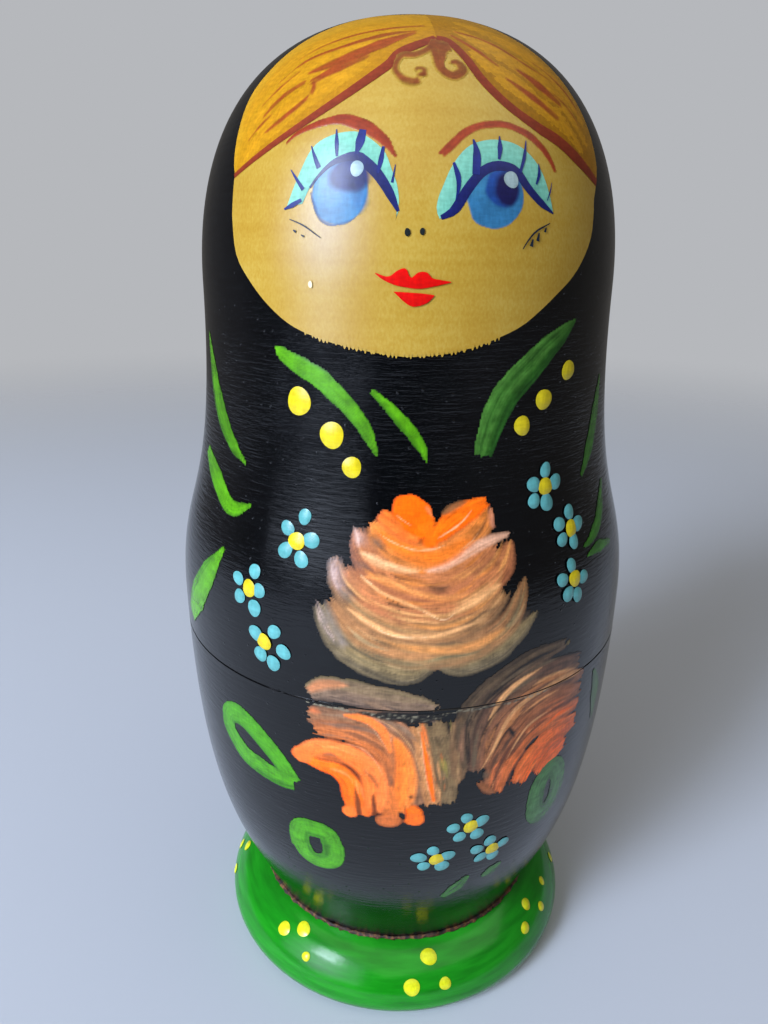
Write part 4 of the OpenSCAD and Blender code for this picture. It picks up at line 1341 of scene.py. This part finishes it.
# The dots on the foot
# Yellow berries in threes round the brow of the foot, from the end of the same brush.
foot_surface = surface(rim + foot_top)
for place, r in [
    ((12.3, 9.1), 1.4), ((6, 6.1), 1.4), ((16.4, 6), 1.05), ((-33.9, 9.3), 1.3), ((-40.7, 8.2), 1.25),
    ((-29.1, 7), 0.8), ((56.6, 8.7), 1.05), ((50.4, 7), 1.05), ((62.2, 6.7), 0.9), ((70.9, 8), 0.8),
    ((-80, 4.5), 1.0), ((-89, 6), 1.0), ((-84, 8), 1.0), ((87, 6), 1.0),
]:
    dot(place, r, 0.9 * r, "#cfd01e", on=foot_surface)
foot_dots = gather("foot_dots", thick_tempera)
nest(foot_dots, "lower")

# The camera
# It stands where the photograph was taken from: close, level with the face, looking down.
bpy.context.scene.view_settings.view_transform = "Standard"
bpy.ops.object.camera_add(location=(0, 0, 0))
camera = bpy.context.object
stand = Matrix.Translation((0, -0.12192, 0.12236))
turned_left = Matrix.Rotation(radians(1.426), 4, "Z")
tipped_down = Matrix.Rotation(radians(90 - 19.944), 4, "X")
rolled = Matrix.Rotation(radians(0.677), 4, "Z")
camera.matrix_world = stand @ turned_left @ tipped_down @ rolled
focal_pixels = 760
picture_height = 1024
camera.data.sensor_width = 36
camera.data.lens = focal_pixels / picture_height * camera.data.sensor_width
camera.data.clip_start = 0.01
bpy.context.scene.camera = camera

# The floor and the lights
# A plain pale floor that fades into a grey room, a soft window to the left of the face, brightest in its
# middle, and a large soft light overhead.
floor_radius = 0.9
floor_drop = 0.0002
bpy.ops.object.select_all(action="DESELECT")
bpy.ops.mesh.primitive_circle_add(
    vertices=96, radius=floor_radius, fill_type="NGON", location=(0, 0, -floor_drop)
)
floor = bpy.context.object
floor.name = "floor"
bpy.ops.object.transform_apply()
paper, tree, shader = finish("pale_paper", {"Base Color": colour("#babfc6"), "Roughness": 0.9})
place = add(tree, "ShaderNodeTexCoord", {}).outputs["Object"]
distance = add(tree, "ShaderNodeVectorMath", {0: place}, operation="LENGTH").outputs["Value"]
fading = {"Value": distance, 1: 0.2, 2: 0.8, 3: 1, 4: 0}
fade = add(tree, "ShaderNodeMapRange", fading, interpolation_type="SMOOTHSTEP")
tree.links.new(fade.outputs[0], shader.inputs["Alpha"])
floor.data.materials.append(paper)


def soft_light(name, place, target, width, height, power, tint):
    """A rectangular soft light aimed at a point."""
    bpy.ops.object.light_add(type="AREA", location=place)
    light = bpy.context.object
    light.name = name
    light.data.shape = "RECTANGLE"
    light.data.size = width
    light.data.size_y = height
    light.data.energy = power
    light.data.color = colour(tint)[:3]
    light.rotation_euler = (Vector(target) - Vector(place)).to_track_quat("-Z", "Y").to_euler()


# Each pane: its width, its lower and upper edges, and its power
sill = 0.135
window_tint = "#d9e5fc"
panes = [(0.8, sill, 0.76, 2), (0.45, sill, 0.72, 9), (0.24, sill, 0.68, 8), (0.24, 0.5, 0.8, 4.5)]
for width, low, high, power in panes:
    middle = (low + high) / 2
    soft_light("window", (-0.58, -0.61, middle), (0, 0, middle), width, high - low, power, window_tint)
soft_light("overhead", (0.2, -0.3, 1.3), (0, 0, 0.05), 2.2, 2.2, 10, "#fffaf2")
world = bpy.data.worlds.new("room")
world.use_nodes = True
bpy.context.scene.world = world
tree = world.node_tree
direction = add(tree, "ShaderNodeTexCoord", {}).outputs["Generated"]
far_corner = {0: direction, 1: (0.5, 0.85, 0)}
depth = add(tree, "ShaderNodeVectorMath", far_corner, operation="DOT_PRODUCT").outputs["Value"]
behind = add(tree, "ShaderNodeMapRange", {"Value": depth, 1: -0.9, 2: 0.5}).outputs[0]
greys = [(0, "#24262a"), (0.4, "#646468"), (1, "#5c5a58")]
lit = add(tree, "ShaderNodeValToRGB", {"Fac": behind}, greys).outputs["Color"]
seen = add(tree, "ShaderNodeLightPath", {}).outputs["Is Camera Ray"]
backdrop = add(tree, "ShaderNodeMixRGB", {"Fac": seen, "Color1": lit, "Color2": colour("#b6b8bc")})
tree.links.new(backdrop.outputs[0], tree.nodes["Background"].inputs["Color"])
